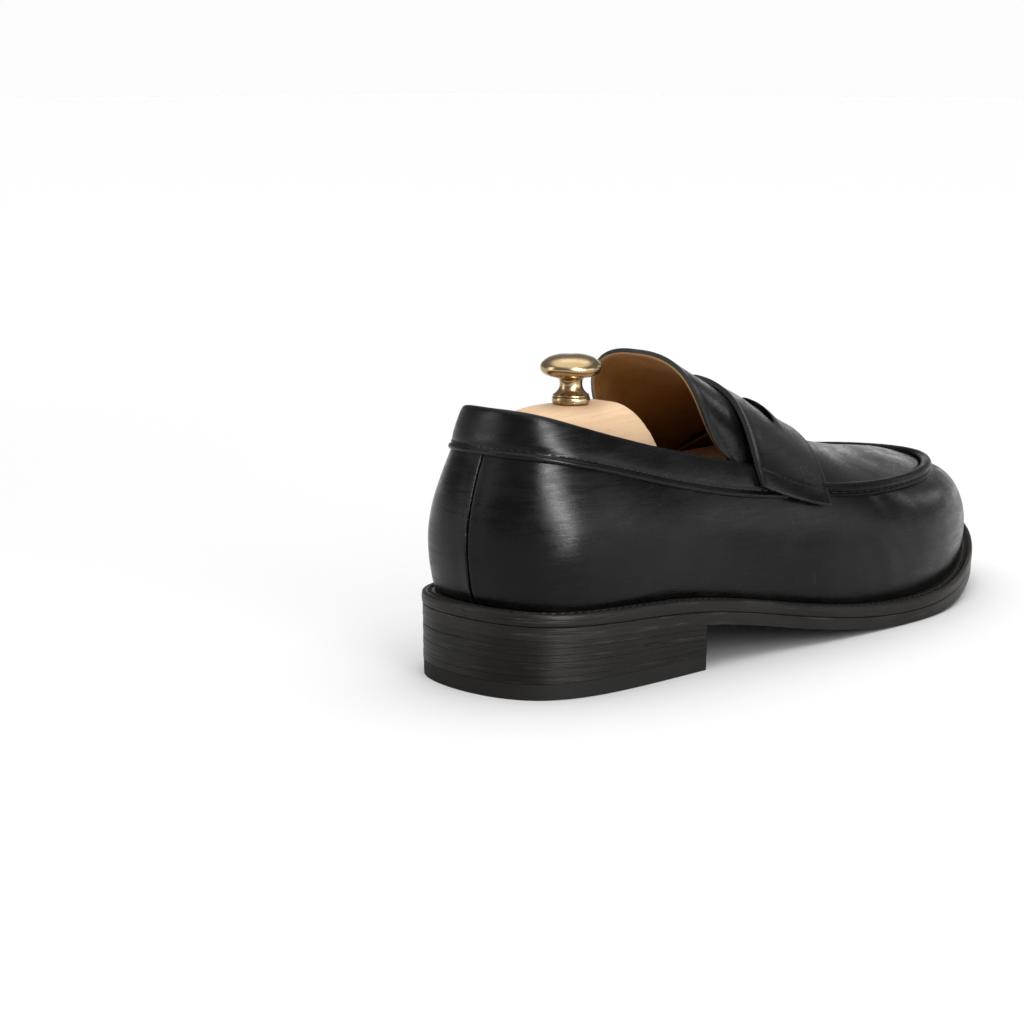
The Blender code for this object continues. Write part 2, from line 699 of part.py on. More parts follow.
def coil(name, start, axis, radius, length, turns, wire, finish):
    """Spring wound round an axis, as one bent wire."""
    sideways = Vector(axis).orthogonal().normalized()
    around = Vector(axis).cross(sideways)
    count = turns * 9 + 1
    curve = bpy.data.curves.new(name, "CURVE")
    curve.dimensions = "3D"
    curve.bevel_depth = wire * MM
    curve.bevel_resolution = 0
    curve.use_fill_caps = True
    line = curve.splines.new("POLY")
    line.points.add(count - 1)
    for i in range(count):
        angle = 2 * math.pi * turns * i / (count - 1)
        reach = sideways * math.cos(angle) + around * math.sin(angle)
        spot = Vector(start) + Vector(axis) * length * i / (count - 1) + reach * radius
        line.points[i].co = (*place(spot), 1)
    made = bpy.data.objects.new(name, curve)
    bpy.context.collection.objects.link(made)
    curve.materials.append(material(name, *finish))


def build_guides():
    """Guide pins across the split, each with its spring in the outer half's pocket."""
    for number, x in enumerate(GUIDE_X, 1):
        rod(f"tree_guide_pin_{number}", (x, -16.0, GUIDE_Z), (x, 21.0, GUIDE_Z), GUIDE_R,
            STEEL)
        coil(f"tree_toe_spring_{number}", (x, SPLIT_GAP / 2 - 0.9, GUIDE_Z),
             (0, -1, 0), 3.6, 7.6, 4, 0.5, STEEL)


def build_core():
    """Rear block of the forepart, with the slot that the bar slides in."""
    x0, x1 = CORE_X
    floor = float(welt_z(x0)) + 7.0
    core = box("tree_core", (x0, -CORE_HALF, floor), (x1, CORE_HALF, CORE_TOP), BEECH, bevel=3)
    reach = BAR_HALF + FREE
    slot = box("core_slot", (x0 - 2, -reach, BAR_Z[0] - FREE), (SLOT_END, reach, BAR_Z[1] + FREE),
               TOOL)
    cut(core, cutter(slot))
    for number, z in enumerate(DOWEL_Z, 1):
        start = x1 - 9.0
        rod(f"tree_dowel_{number}", (start, DOWEL_Y, z), (184.0, DOWEL_Y, z), DOWEL_R, BEECH)
        drill(core, f"core_hole_{number}", (start - 0.6, DOWEL_Y, z), (x1 + 1, DOWEL_Y, z),
              DOWEL_R + GAP)


def build_bar():
    """Sliding bar and the spring that pushes it back."""
    box("tree_bar", (BAR_X[0], -BAR_HALF, BAR_Z[0]), (BAR_X[1], BAR_HALF, BAR_Z[1]), BEECH,
        bevel=1)
    first = BAR_X[1] + BAR_TRAVEL + 1.2
    coil("tree_bar_spring", (first, 0, sum(BAR_Z) / 2), (1, 0, 0), 4.6,
         SLOT_END - 1.1 - first, 4, 0.7, STEEL)


def hinge_point(along, off, slope):
    """Point of the hinge: along an arm that rises backward at slope, off its face."""
    angle = math.radians(slope)
    x = HINGE[0] - along * math.cos(angle) + off * math.sin(angle)
    z = HINGE[1] + along * math.sin(angle) + off * math.cos(angle)
    return x, z


def hinge_arm(name, y0, y1, slope, length):
    """Arm with a rolled knuckle round the pin."""
    low, high = LEAF
    start = math.asin(high / KNUCKLE_R)
    end = 2 * math.pi + math.asin(max(low, -KNUCKLE_R * 0.98) / KNUCKLE_R)
    profile = [(length, -KNUCKLE_R * 0.98), (length, high)]
    for angle in np.linspace(start, end, 15):
        profile.append((KNUCKLE_R * math.cos(angle), KNUCKLE_R * math.sin(angle)))
    loops = []
    for y in (y0, y1):
        loop = []
        for along, off in profile:
            x, z = hinge_point(along, off, slope)
            loop.append((x, y, z))
        loops.append(loop)
    arm = loft(name, loops, BRASS)
    drill(arm, f"{name}_eye", (HINGE[0], y0 - 1, HINGE[1]), (HINGE[0], y1 + 1, HINGE[1]),
          PIN_R + GAP)


def build_hinge():
    """Three brass arms on one pin, with their screws."""
    bar_slope = 180.0
    hinge_arm("hinge_arm_bar", -4.5, 4.5, bar_slope, 18.0)
    hinge_arm("hinge_arm_block_outer", -9.5, -5.0, SHOULDER, 15.0)
    hinge_arm("hinge_arm_block_inner", 5.0, 9.5, SHOULDER, 15.0)
    rod("hinge_pin", (HINGE[0], -10.2, HINGE[1]), (HINGE[0], 10.2, HINGE[1]), PIN_R, BRASS)
    screws = ((9.0, 0.0, bar_slope), (14.5, 0.0, bar_slope), (11.0, -7.25, SHOULDER),
              (11.0, 7.25, SHOULDER))
    for number, (along, y, slope) in enumerate(screws, 1):
        ends = []
        for off in (LEAF[1] + GAP, LEAF[1] + GAP + 0.7):
            x, z = hinge_point(along, off, slope)
            ends.append((x, y, z))
        rod(f"hinge_screw_{number}", *ends, 1.5, BRASS)


def block_loop(z, inset):
    """Outline of the heel block at one height, drawn in by inset but flat in front."""
    rear, middle, half = 16.5, 55.0, 19.0
    side = [(BLOCK_FRONT, 15.5), (74.0, 18.5)]
    for x in np.linspace(middle, rear, 9):
        side.append((x, half * math.sqrt(max(0.0, 1 - ((middle - x) / (middle - rear))**2))))
    loop = []
    for x, y in side + [(x, -y) for x, y in reversed(side[:-1])]:
        reach = math.hypot(x - middle, y)
        scale = (reach - inset) / reach
        loop.append((max(middle + (x - middle) * scale, x * (x >= BLOCK_FRONT)), y * scale, z))
    return loop


def build_block():
    """Heel block with its sloping front shoulder and the hole for the knob's stud."""
    levels = ((40, 4), (44, 1.2), (52, 0), (74, 0), (84, 1.5), (89, 4.5), (BLOCK_TOP, 9.5))
    block = loft("tree_heel_block", [block_loop(z, inset) for z, inset in levels], BEECH)
    for number, (near, depth, angle) in enumerate(SHOULDER_CUTS, 1):
        corners = []
        for along, off in ((near, depth), (60, depth), (60, 50), (near, 50)):
            corners.append(hinge_point(along, off, angle))
        slope = [[(x, y, z) for x, z in corners] for y in (-30, 30)]
        cut(block, cutter(loft(f"shoulder_tool_{number}", slope, TOOL)))
    drill(block, "stud_hole", (KNOB_X, 0, 77.4), (KNOB_X, 0, BLOCK_TOP + 3), STUD_R + GAP)


def build_knob():
    """Turned brass knob on its threaded stud."""
    knob = lathe("tree_knob", [(r, BLOCK_TOP + h) for r, h in KNOB], (KNOB_X, 0), BRASS)
    rod("knob_stud", (KNOB_X, 0, 78), (KNOB_X, 0, 97.4), STUD_R, STEEL)
    drill(knob, "knob_hole", (KNOB_X, 0, 91), (KNOB_X, 0, 98), STUD_R + GAP)


clear_scene()
build_nails(build_heel())
build_sole()
build_welt()
build_fillings()
bottom_plate("insole", LEATHER + GAP, GAP, GAP + INSOLE, BOARD)
bottom_plate("sock_lining", 5.0, 2 * GAP + INSOLE, 2 * GAP + INSOLE + SOCK, TAN)
build_wall()
build_collar()
build_apron()
build_bead()
build_tongue()
build_strap()
build_toe_halves()
build_guides()
build_core()
build_bar()
build_block()
build_hinge()
build_knob()
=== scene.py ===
"""Looks of the penny loafer: leather, stitching, burnished edges, wood and brass.

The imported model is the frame.  The tables and curves below are those of the part itself,
in millimetres from the back of the heel, so that every piece lies where its node lies.
"""
import functools
import json
import math

import bmesh
import bpy
import numpy as np
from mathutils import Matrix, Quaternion, Vector, noise


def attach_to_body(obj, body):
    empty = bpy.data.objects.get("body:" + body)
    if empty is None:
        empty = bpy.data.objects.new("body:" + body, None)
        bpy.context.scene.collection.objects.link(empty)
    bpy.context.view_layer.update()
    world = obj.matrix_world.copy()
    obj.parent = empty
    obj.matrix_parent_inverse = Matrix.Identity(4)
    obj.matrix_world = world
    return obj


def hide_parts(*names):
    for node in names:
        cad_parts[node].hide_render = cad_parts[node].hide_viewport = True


MM = 0.001
X_MID = 142.25           # ground point under the middle of the shoe, from the heel back

# ---------------- sizes of the part

BREAST_X = 78.2
TOP_PIECE = 5.6
LIFTS = 6
LIFT_INSETS = (0.30, 0.36, 0.28, 0.34, 0.27, 0.32)
TOP_PIECE_INSETS = (0.45, 0.55)
WELT = 4.4
SOLE_BOTTOM = 8.9
SOLE_INSET = 0.3
HEEL_INSET = 0.2
GAP = 0.3
LEATHER = 1.5
LINING = 0.9
STIFFENER = 1.1
STRAP = 1.6
BEAD_LIFT = 2.3
APRON_IN = 2.8
HINGE = (88.5, 66.0)
BLOCK_FRONT = 87.6
BLOCK_REAR = 16.5
BLOCK_TOP = 92.0
BLOCK_MIDDLE = (55.0, 19.0)         # x and half width
# Height and how far the outline is drawn in
BLOCK_LEVELS = ((40.3, 4.0), (42, 2.2), (45, 0.9), (52, 0), (63, 0), (74, 0.1), (80, 0.8),
                (84, 1.9), (87, 3.6), (89.2, 5.9), (90.8, 9.2), (91.6, 12.5),
                (BLOCK_TOP, 16.5))
# Planes that cut the shoulder: distance along the slope from the hinge, off it, degrees
BLOCK_CUTS = ((-12.0, -3.4, 55.0), (-30.0, 16.5, 30.0))
KNOB_X = 51.5

# One row per station round the shoe: back, outer side, toe, inner side.
# Welt edge x y, feather line inset, skirt top x y z, low bulge, high bulge, high drop.
RIBS = np.array([
    (0, 0, 4.5, 9, 0, 80, 6.5, 6.5, 0.33),
    (8, -24.5, 4.5, 15, -19, 79.3, 5.5, 6.5, 0.33),
    (32, -36, 4.0, 36, -29, 74.3, 4.5, 6.0, 0.35),
    (68, -39.5, 5.0, 70, -32, 65, 3.5, 5.0, 0.35),
    (104, -42.5, 5.0, 104, -37, 57.7, 3.5, 4.0, 0.35),
    (140, -48, 4.8, 137, -42.5, 54, 4.0, 5.0, 0.33),
    (175, -51.5, 5.2, 164, -44.5, 51.5, 5.0, 7.0, 0.27),
    (207, -51, 5.7, 192, -41, 50, 5.0, 10.0, 0.18),
    (235.2, -42.8, 5.2, 216.3, -33.4, 49.2, 5.0, 11.5, 0.12),
    (258.8, -29.6, 5.2, 236.8, -21.8, 48.8, 4.5, 12.5, 0.08),
    (276.2, -13.3, 5.5, 250, -9.2, 48.6, 4.0, 13.5, 0.06),
    (284.5, 4.5, 5.7, 254.4, 4.5, 48.5, 4.0, 14.0, 0.05),
    (279, 22.5, 5.5, 249.3, 18.2, 48.8, 4.0, 13.5, 0.06),
    (259, 38, 5.5, 235.3, 29.2, 49.6, 5.0, 12.5, 0.08),
    (231, 48, 5.5, 213, 37, 50.8, 5.0, 11.0, 0.12),
    (200, 51.5, 5.5, 187, 40.5, 52, 5.0, 9.0, 0.20),
    (170, 46, 5.0, 160, 39.5, 54, 5.0, 7.0, 0.28),
    (138, 37, 4.0, 135, 36, 56.5, 4.5, 5.0, 0.33),
    (104, 33, 3.5, 104, 33, 59.5, 4.0, 4.0, 0.35),
    (68, 36, 3.5, 70, 31.5, 65.5, 3.5, 5.0, 0.35),
    (30, 38, 4.0, 36, 30, 74.3, 4.5, 6.0, 0.35),
    (6.5, 27, 4.5, 14, 20, 79.3, 5.5, 6.5, 0.33),
], dtype=float)
STATIONS = len(RIBS)
TOE = 11                 # station at the tip of the toe

# Height of the welt's top along the shoe: x, z
WELT_CURVE = np.array([
    (-3, 30.0), (0, 29.8), (40, 28.0), (80, 24.8), (125, 16.4), (175, 9.5),
    (202, 9.3), (225, 11.4), (245, 15.1), (270, 20.4), (290, 25.2),
])

# Topline of the collar, one row per station from -5 to 5
TOPLINE = np.array([
    (132, 33, 64), (104, 29.5, 69.5), (70, 26.5, 77.5), (38, 25.5, 86.5), (17.5, 17, 93.3),
    (12.5, 0, 94.6),
    (18, -16, 93.3), (38, -25, 86.5), (70, -27.5, 77.3), (104, -33, 69), (132, -39, 63),
], dtype=float)
COLLAR_END = 5

# Cross-sections of the tongue and of the strap: outer base, handle, crown handle, crown,
# inner base, its handle
TONGUE_RIM = np.array([(106, -30.4, 68), (91, -20, 76), (88.5, -35, 108.2),
                       (84.7, 0, 107.8), (106, 27, 68.5), (90, 26, 79)])
TONGUE_REAR = np.array([(117, -33, 62.5), (108, -31, 76), (118, -24, 91.4),
                        (118, 0, 93), (117, 29.3, 63.5), (108, 28, 76)])
TONGUE_MID = np.array([(133, -37.2, 57), (128, -35, 66), (139, -22, 79.4),
                       (143, 0, 81.6), (133, 32.4, 58.5), (128, 31.4, 66)])
STRAP_REAR = np.array([(108.4, -40, 60.7), (104, -36.6, 75.3), (118.5, -25, 93.4),
                       (118.5, 0, 95.3), (108.4, 35.8, 61.6), (104, 33.2, 75.3)])
STRAP_MID = np.array([(123, -44.4, 55), (121, -40.6, 67), (140, -23, 82.6),
                      (143.5, 0, 84.4), (123, 39.2, 57.5), (121, 36.6, 67)])
STRAP_FRONT = np.array([(138.1, -47.4, 50.9), (138.7, -44.4, 58.6), (164.5, -20.5, 71.2),
                        (168.4, 0, 72.8), (138.1, 42, 53.2), (138.7, 39.2, 60.6)])

# Crown of the apron: station, x, z
APRON_CROWN = np.array([
    (5, 145, 80.6), (5.6, 163, 72.4), (6.3, 184, 64.6), (7, 204, 60.4), (8, 225, 57.2),
    (9, 240.6, 54.2), (10, 248.8, 52.0), (11, 251.6, 50.8),
])

# ---------------- sizes of the looks

SEAM_WIDTH = 0.48        # half width of the back seam's groove
SEAM_DEPTH = 1.1
BAND_END = 4.5           # stations where the collar band and the quarter lining end
LINING_END = 4.05
LINING_TOP = 0.985       # height of the lining's rim, as a share of the wall's
ROLL_START = 5.05        # station where the seam roll starts, and its stitch distance
ROLL_PITCH = 4.6
APRON_EASE = 40          # rounds of smoothing over the crown of the apron
STRAP_STITCH = 6.5       # stitching from the strap's ends, and from the tongue's rim
TONGUE_STITCH = 3.2
SLOT = (4.0, 21.0)       # penny slot, half width and half length across the foot
SLOT_BOW = 0.014         # the slot bows back with the strap: x falls by this times y squared

CAMERA_AZIMUTH = -46
CAMERA_RISE = 11
CAMERA_DISTANCE = 0.7734
CAMERA_LENS = 80.89
CAMERA_TARGET = (22.5, 0, 58.2)     # millimetres from the heel back

# Floor paper: lightness close to the shoe and far from it, and the distances in between
FLOOR_NEAR = (0.84, 0.84, 0.84)
FLOOR_FAR = (0.97, 0.97, 0.97)
FLOOR_SPREAD = (0.35, 1.6)
FLOOR_REACH = 12.0

# Area lights: name, azimuth, elevation, distance, size, power, roll, only in reflections.
# They face a point at LIGHT_TARGET metres over the floor.
LIGHT_TARGET = 0.05
LIGHTS = (
    ("key_softbox", -19, 24, 1.3, (1.0, 0.30), 5.0, -50, False),
    ("key_card", -21, 18, 1.3, (1.15, 0.34), 34.0, -50, True),
    ("fill_card", 24, 8, 1.3, (0.9, 0.34), 2.4, 0, True),
    ("side_card", -127, 14, 1.3, (0.34, 0.70), 3.4, 0, True),
    ("rear_softbox", 132, 8, 1.4, (0.8, 0.14), 0.5, 0, False),
    ("right_strip", 84, 14, 1.4, (0.35, 0.12), 0.5, 0, False),
    ("top_softbox", 120, 68, 1.2, (0.9, 0.6), 1.4, 0, False),
)

# Strength of the world's light: all round, then bands over the height of the direction:
# from and to height, strength at each
WORLD_DIM = 0.25
WORLD_BANDS = ((0.03, 0.09, 0.73, 0.0), (0.6, 0.85, 0.0, 1.68))

# Profile round the collar band: 1 where the height counts from the topline and 0 where it
# counts from the skirt's top edge, that height, then outward.
BAND_PROFILE = (
    (0, 1.5, -1.25), (0, 0.2, -0.75), (0, -0.7, -0.1), (0, -0.9, 0.5), (0, -0.55, 1.05),
    (0, 0.1, 1.25), (0, 0.75, 1.05), (0, 1.2, 0.72), (0, 1.8, 0.62), (0, 2.4, 0.7),
    (0, 3.6, 0.95), (0, 6.0, 1.1), (1, -5.0, 1.1), (1, -2.6, 1.0), (1, -1.2, 0.85),
    (1, -0.35, 0.4), (1, 0.05, -0.25), (1, -0.1, -0.9), (1, -0.8, -1.3), (1, -3.0, -1.4),
    (0, 6.0, -1.4),
)
# Profile round the seam roll: outward from the skirt's top edge, up.
ROLL_PROFILE = (
    (-0.6, -0.7), (0.5, -0.7), (1.25, -0.2), (1.35, 0.45), (0.75, 0.95), (1.15, 1.5),
    (1.45, 2.5), (1.1, 3.5), (0.2, 4.2), (-0.9, 4.4), (-2.0, 3.9), (-2.65, 2.9),
    (-2.5, 1.8), (-1.6, 0.6),
)
# Profile round the welt: inward from its edge, up from its top face.
WELT_PROFILE = (
    (11.9, -4.35), (6.0, -4.35), (1.2, -4.38), (0.35, -4.3), (0.02, -3.95), (-0.08, -3.0),
    (-0.1, -2.0), (-0.02, -1.1), (0.15, -0.5), (0.55, -0.08), (1.1, 0.1), (1.7, -0.02),
    (2.3, -0.3), (2.9, -0.25), (3.4, 0.0), (4.2, 0.05), (7.0, 0.0), (11.9, 0.0),
)
# Profile of the knob, radius and height above the heel block, top first.
KNOB_PROFILE = (
    (0.01, 17.1), (2.6, 17.05), (5.2, 16.7), (7.6, 15.95), (9.2, 14.95), (10.2, 13.85),
    (10.6, 12.85), (10.55, 12.0), (10.15, 11.2), (9.4, 10.5), (8.2, 9.85), (6.8, 9.4),
    (5.4, 9.1), (4.5, 8.75), (4.05, 8.2), (3.88, 7.4), (3.9, 6.5), (4.1, 5.6), (4.5, 4.75),
    (5.2, 3.95), (5.9, 3.4), (6.25, 3.15), (6.2, 2.9), (5.85, 2.78), (5.9, 2.62),
    (6.35, 2.5), (6.5, 2.2), (6.5, 0.7), (6.35, 0.35), (6.0, 0.3),
)


# ---------------- curves and surfaces

def place(points):
    """Turn millimetres from the heel back into metres in the part's frame."""
    return (np.asarray(points, float) - (X_MID, 0.0, 0.0)) * MM


def closed_spline(rows, t):
    """Periodic cubic curve through rows, with a row at every whole number of t."""
    count = len(rows)
    matrix = 4 * np.eye(count) + np.roll(np.eye(count), 1, 0) + np.roll(np.eye(count), -1, 0)
    slope = np.linalg.solve(matrix, 3 * (np.roll(rows, -1, 0) - np.roll(rows, 1, 0)))
    t = np.asarray(t, float) % count
    i = np.floor(t).astype(int) % count
    j = (i + 1) % count
    s = (t - np.floor(t))[:, None]
    return ((2 * s**3 - 3 * s**2 + 1) * rows[i] + (s**3 - 2 * s**2 + s) * slope[i]
            + (3 * s**2 - 2 * s**3) * rows[j] + (s**3 - s**2) * slope[j])


def open_spline(knots, rows, x):
    """Natural cubic curve through rows at the given knots."""
    knots = np.asarray(knots, float)
    rows = np.asarray(rows, float).reshape(len(knots), -1)
    h = np.diff(knots)
    matrix = np.eye(len(knots))
    right = np.zeros_like(rows)
    for i in range(1, len(knots) - 1):
        matrix[i, i - 1:i + 2] = (h[i - 1], 2 * (h[i - 1] + h[i]), h[i])
        right[i] = 6 * ((rows[i + 1] - rows[i]) / h[i] - (rows[i] - rows[i - 1]) / h[i - 1])
    bend = np.linalg.solve(matrix, right)
    x = np.atleast_1d(np.asarray(x, float))
    k = np.clip(np.searchsorted(knots, x) - 1, 0, len(knots) - 2)
    a = (knots[k + 1] - x)[:, None]
    b = (x - knots[k])[:, None]
    w = h[k][:, None]
    return ((bend[k] * a**3 + bend[k + 1] * b**3) / (6 * w)
            + (rows[k] / w - bend[k] * w / 6) * a + (rows[k + 1] / w - bend[k + 1] * w / 6) * b)


def welt_z(x):
    """Height of the welt's top at x."""
    x = np.asarray(x, float)
    return open_spline(WELT_CURVE[:, 0], WELT_CURVE[:, 1], x.ravel())[:, 0].reshape(x.shape)


def on_welt(line, height):
    """A flat line of points, put at a height over the welt's top."""
    return np.column_stack([line, welt_z(line[:, 0]) + height])


def outward(t, columns):
    """Horizontal outward direction of one of the curves that the ribs carry."""
    step = 1e-3
    ahead = closed_spline(RIBS, np.asarray(t) + step)[:, columns]
    behind = closed_spline(RIBS, np.asarray(t) - step)[:, columns]
    along = unit(ahead - behind)
    return np.column_stack([along[:, 1], -along[:, 0]])


def welt_edge(t, inset):
    """Outline of the bottom, moved inward by inset."""
    return closed_spline(RIBS, t)[:, :2] - outward(t, [0, 1]) * np.reshape(inset, (-1, 1))


def bezier(p0, p1, p2, p3, v):
    """Cubic through control points, all arrays that broadcast."""
    return (1 - v)**3 * p0 + 3 * v * (1 - v)**2 * p1 + 3 * v**2 * (1 - v) * p2 + v**3 * p3


def skirt(t, v):
    """Outside of the skirt: t is the station, v runs from the welt to the top edge."""
    rib = closed_spline(RIBS, t)
    out = outward(t, [0, 1])
    base = rib[:, :2] - out * rib[:, 2:3]
    foot = on_welt(base, GAP)
    top = rib[:, 3:6]
    height = (top[:, 2] - foot[:, 2])[:, None]
    low = foot + np.column_stack([out * rib[:, 6:7], 0.42 * height])
    high = top + np.column_stack([out * rib[:, 7:8], -rib[:, 8:9] * height])
    v = np.asarray(v, float)[None, :, None]
    return bezier(foot[:, None], low[:, None], high[:, None], top[:, None], v)


def collar(t, v):
    """Outside of the collar: t from -5 to 5, v from the skirt's top to the topline."""
    low = closed_spline(RIBS, t)[:, 3:6]
    high = open_spline(np.arange(-COLLAR_END, COLLAR_END + 1), TOPLINE, t)
    v = np.asarray(v, float)[None, :, None]
    return (1 - v) * low[:, None] + v * high[:, None]


def inner_wall(t, v):
    """Skirt and collar as one surface: v up to 1 on the skirt, then up to the topline."""
    v = np.asarray(v, float) * 1.5
    wall = skirt(t, np.clip(v, 0, 1))
    rise = collar(t, np.clip((v - 1) * 2, 0, 1))
    return np.where((v <= 1)[None, :, None], wall, rise)


def seam_edge(t, inset, lift):
    """The skirt's top edge moved inward and up."""
    top = closed_spline(RIBS, t)[:, 3:6]
    moved = top[:, :2] - outward(t, [3, 4]) * inset
    return np.column_stack([moved, top[:, 2] + lift])


def apron(t, w):
    """Outside of the apron: t from 5 to 11, w from -1 (outer) over 0 to 1 (inner)."""
    t = np.asarray(t, float)
    crown = open_spline(APRON_CROWN[:, 0], APRON_CROWN[:, 1:], t)
    outer = seam_edge(t, APRON_IN, BEAD_LIFT)
    inner = seam_edge(STATIONS - t, APRON_IN, BEAD_LIFT)
    middle = np.column_stack([crown[:, 0], (outer[:, 1] + inner[:, 1]) / 2, crown[:, 1]])
    rows = []
    for value in w:
        side = outer if value < 0 else inner
        reach = middle - side
        rows.append(bezier(side, side + reach * (0.05, 0.14, 0.16),
                           middle - reach * (0.2, 0.42, 0.24), middle, 1 - abs(value)))
    return np.stack(rows, axis=1)


def arch(section, w):
    """Points over one cross-section, w from -1 (outer) to 1 (inner)."""
    base, handle, over, crown, inner_base, inner_handle = section
    sides = ((base, handle, over), (inner_base, inner_handle, over * (1, -1, 1)))
    return np.array([bezier(*sides[int(value >= 0)], crown, 1 - abs(value)) for value in w])


def arch_surface(sections, s, v):
    """Surface over a row of cross-sections, s from 0 to the last one, v across."""
    sections = np.asarray(sections)
    flat = sections.reshape(len(sections), -1)
    rows = open_spline(np.arange(len(sections)), flat, s)
    return np.stack([arch(row.reshape(6, 3), 2 * np.asarray(v) - 1) for row in rows])


def tongue(s, v):
    """Outside of the tongue: s from 0 (rim) to 2, v from 0 (outer) to 1 (inner)."""
    return arch_surface([TONGUE_RIM, TONGUE_REAR, TONGUE_MID], s, v)


def strap(s, v):
    """Outside of the saddle strap: s from 0 (rear edge) to 2, v across the foot."""
    return arch_surface([STRAP_REAR, STRAP_MID, STRAP_FRONT], s, v)


def grid_normals(grid, ring=False):
    """Unit normals of a grid of points, on the outer side of the shoe."""
    if ring:
        across = np.roll(grid, -1, 0) - np.roll(grid, 1, 0)
    else:
        across = np.gradient(grid, axis=0)
    normal = np.cross(across, np.gradient(grid, axis=1))
    return normal / np.maximum(np.linalg.norm(normal, axis=2), 1e-9)[:, :, None]


def turns(count):
    """Angles evenly round a circle."""
    return np.linspace(0, 2 * math.pi, count, endpoint=False)


def unit(rows):
    """Rows of vectors, each scaled to a length of 1."""
    return rows / np.linalg.norm(rows, axis=1)[:, None]


def lengths(points):
    """Distance along a row of points, from its first."""
    steps = np.linalg.norm(np.diff(points, axis=0), axis=1)
    return np.concatenate([[0.0], np.cumsum(steps)])


def bumps(grid, size, seed):
    """Smooth random values of about -1 to 1 over a grid, with features of that size."""
    shift = Vector((seed * 7.3, seed * 3.1, seed * 5.7))
    flat = grid.reshape(-1, 3) / size
    values = [noise.noise(Vector(p) + shift) for p in flat]
    return np.array(values).reshape(grid.shape[:2])


def fade(distance, width, power=2):
    """Bell curve: 1 at a distance of 0, and near 0 beyond twice the width."""
    return np.exp(-(distance / width)**power)


# ---------------- meshes

def new_object(name, data):
    """Object in the scene that holds a mesh, a light or a camera."""
    made = bpy.data.objects.new(name, data)
    bpy.context.scene.collection.objects.link(made)
    return made


def finish_mesh(name, verts, faces, finish, surf, rim=None, angle=50):
    """Object from millimetre points; surf and rim are values per point for its finish."""
    mesh = bpy.data.meshes.new(name)
    mesh.from_pydata(place(verts).tolist(), [], faces)
    mesh.update()
    data = bmesh.new()
    data.from_mesh(mesh)
    bmesh.ops.recalc_face_normals(data, faces=data.faces)
    data.to_mesh(mesh)
    data.free()
    mesh.shade_smooth()
    mesh.set_sharp_from_angle(angle=math.radians(angle))
    layer = mesh.attributes.new("surf", "FLOAT_VECTOR", "POINT")
    layer.data.foreach_set("vector", (surf * MM).ravel())
    if rim is not None:
        mesh.attributes.new("rim", "FLOAT", "POINT").data.foreach_set("value", rim)
    mesh.materials.append(finish)
    return new_object(name, mesh)


def grid_faces(rows, columns, ring_rows, ring_columns, offset=0):
    """Faces between neighbouring points of a grid, which may close on itself."""
    index = offset + np.arange(rows * columns).reshape(rows, columns)
    ahead = np.roll(index, -1, 0)
    faces = np.stack([index, ahead, np.roll(ahead, -1, 1), np.roll(index, -1, 1)], axis=2)
    faces = faces[:rows if ring_rows else -1, :columns if ring_columns else -1]
    return [tuple(face) for face in faces.reshape(-1, 4).tolist()]


def shell(outer, inner, ring, rims):
    """Points and faces of two grids back to back, joined along pairs of rim points."""
    rows, columns = outer.shape[:2]
    count = rows * columns
    back = grid_faces(rows, columns, ring, False, count)
    faces = grid_faces(rows, columns, ring, False) + [tuple(reversed(f)) for f in back]
    faces += [(a, b, count + b, count + a) for a, b in rims]
    return np.concatenate([outer.reshape(-1, 3), inner.reshape(-1, 3)]), faces


def surf_of(grid):
    """Distances along and across a grid, as a third coordinate system for finishes."""
    across = np.stack([lengths(row) for row in grid])
    along = lengths(grid[:, grid.shape[1] // 2])[:, None] + 0 * across
    return np.stack([along, across, 0 * across], axis=2).reshape(-1, 3)


def sheet(name, outer, inner, finish, ring=False, bevel=0.0, rim=None):
    """Closed piece of leather between two grids of points; bevel rounds its rims."""
    rows, columns = outer.shape[:2]
    index = np.arange(rows * columns).reshape(rows, columns)
    rims = [(index[i, j], index[(i + 1) % rows, j])
            for i in range(rows if ring else rows - 1) for j in (0, columns - 1)]
    if not ring:
        rims += [(index[i, j], index[i, j + 1])
                 for i in (0, rows - 1) for j in range(columns - 1)]
    points, faces = shell(outer, inner, ring, rims)
    edge = np.zeros(index.size) if rim is None else rim.ravel()
    made = finish_mesh(name, points, faces, finish, np.tile(surf_of(outer), (2, 1)),
                       np.tile(edge, 2))
    if bevel:
        round_edges(made, bevel)
    return made


def round_edges(made, width, angle=45):
    """Bevel of a width in millimetres on every edge sharper than the angle."""
    change = made.modifiers.new("Rounded", "BEVEL")
    change.width = width * MM
    change.segments = 3
    change.limit_method = "ANGLE"
    change.angle_limit = math.radians(angle)
    change.use_clamp_overlap = True


def attach(piece, node=None, body="shoe"):
    """Let a piece ride on a body and stand for a CAD node."""
    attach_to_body(piece, body)
    if node:
        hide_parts(node)


def sweep(name, loops, finish, ring=False):
    """Closed piece through loops of points of the same size; open ends get a flat cap."""
    loops = np.asarray(loops)
    rows, columns = loops.shape[:2]
    faces = grid_faces(rows, columns, ring, True)
    if not ring:
        faces.append(tuple(range(columns)))
        faces.append(tuple((rows - 1) * columns + j for j in range(columns)))
    return finish_mesh(name, loops.reshape(-1, 3), faces, finish, surf_of(loops), angle=70)


def smooth_profile(points, count):
    """Closed smooth profile through points."""
    rows = np.asarray(points, float)
    return closed_spline(rows, np.linspace(0, len(rows), count, endpoint=False))


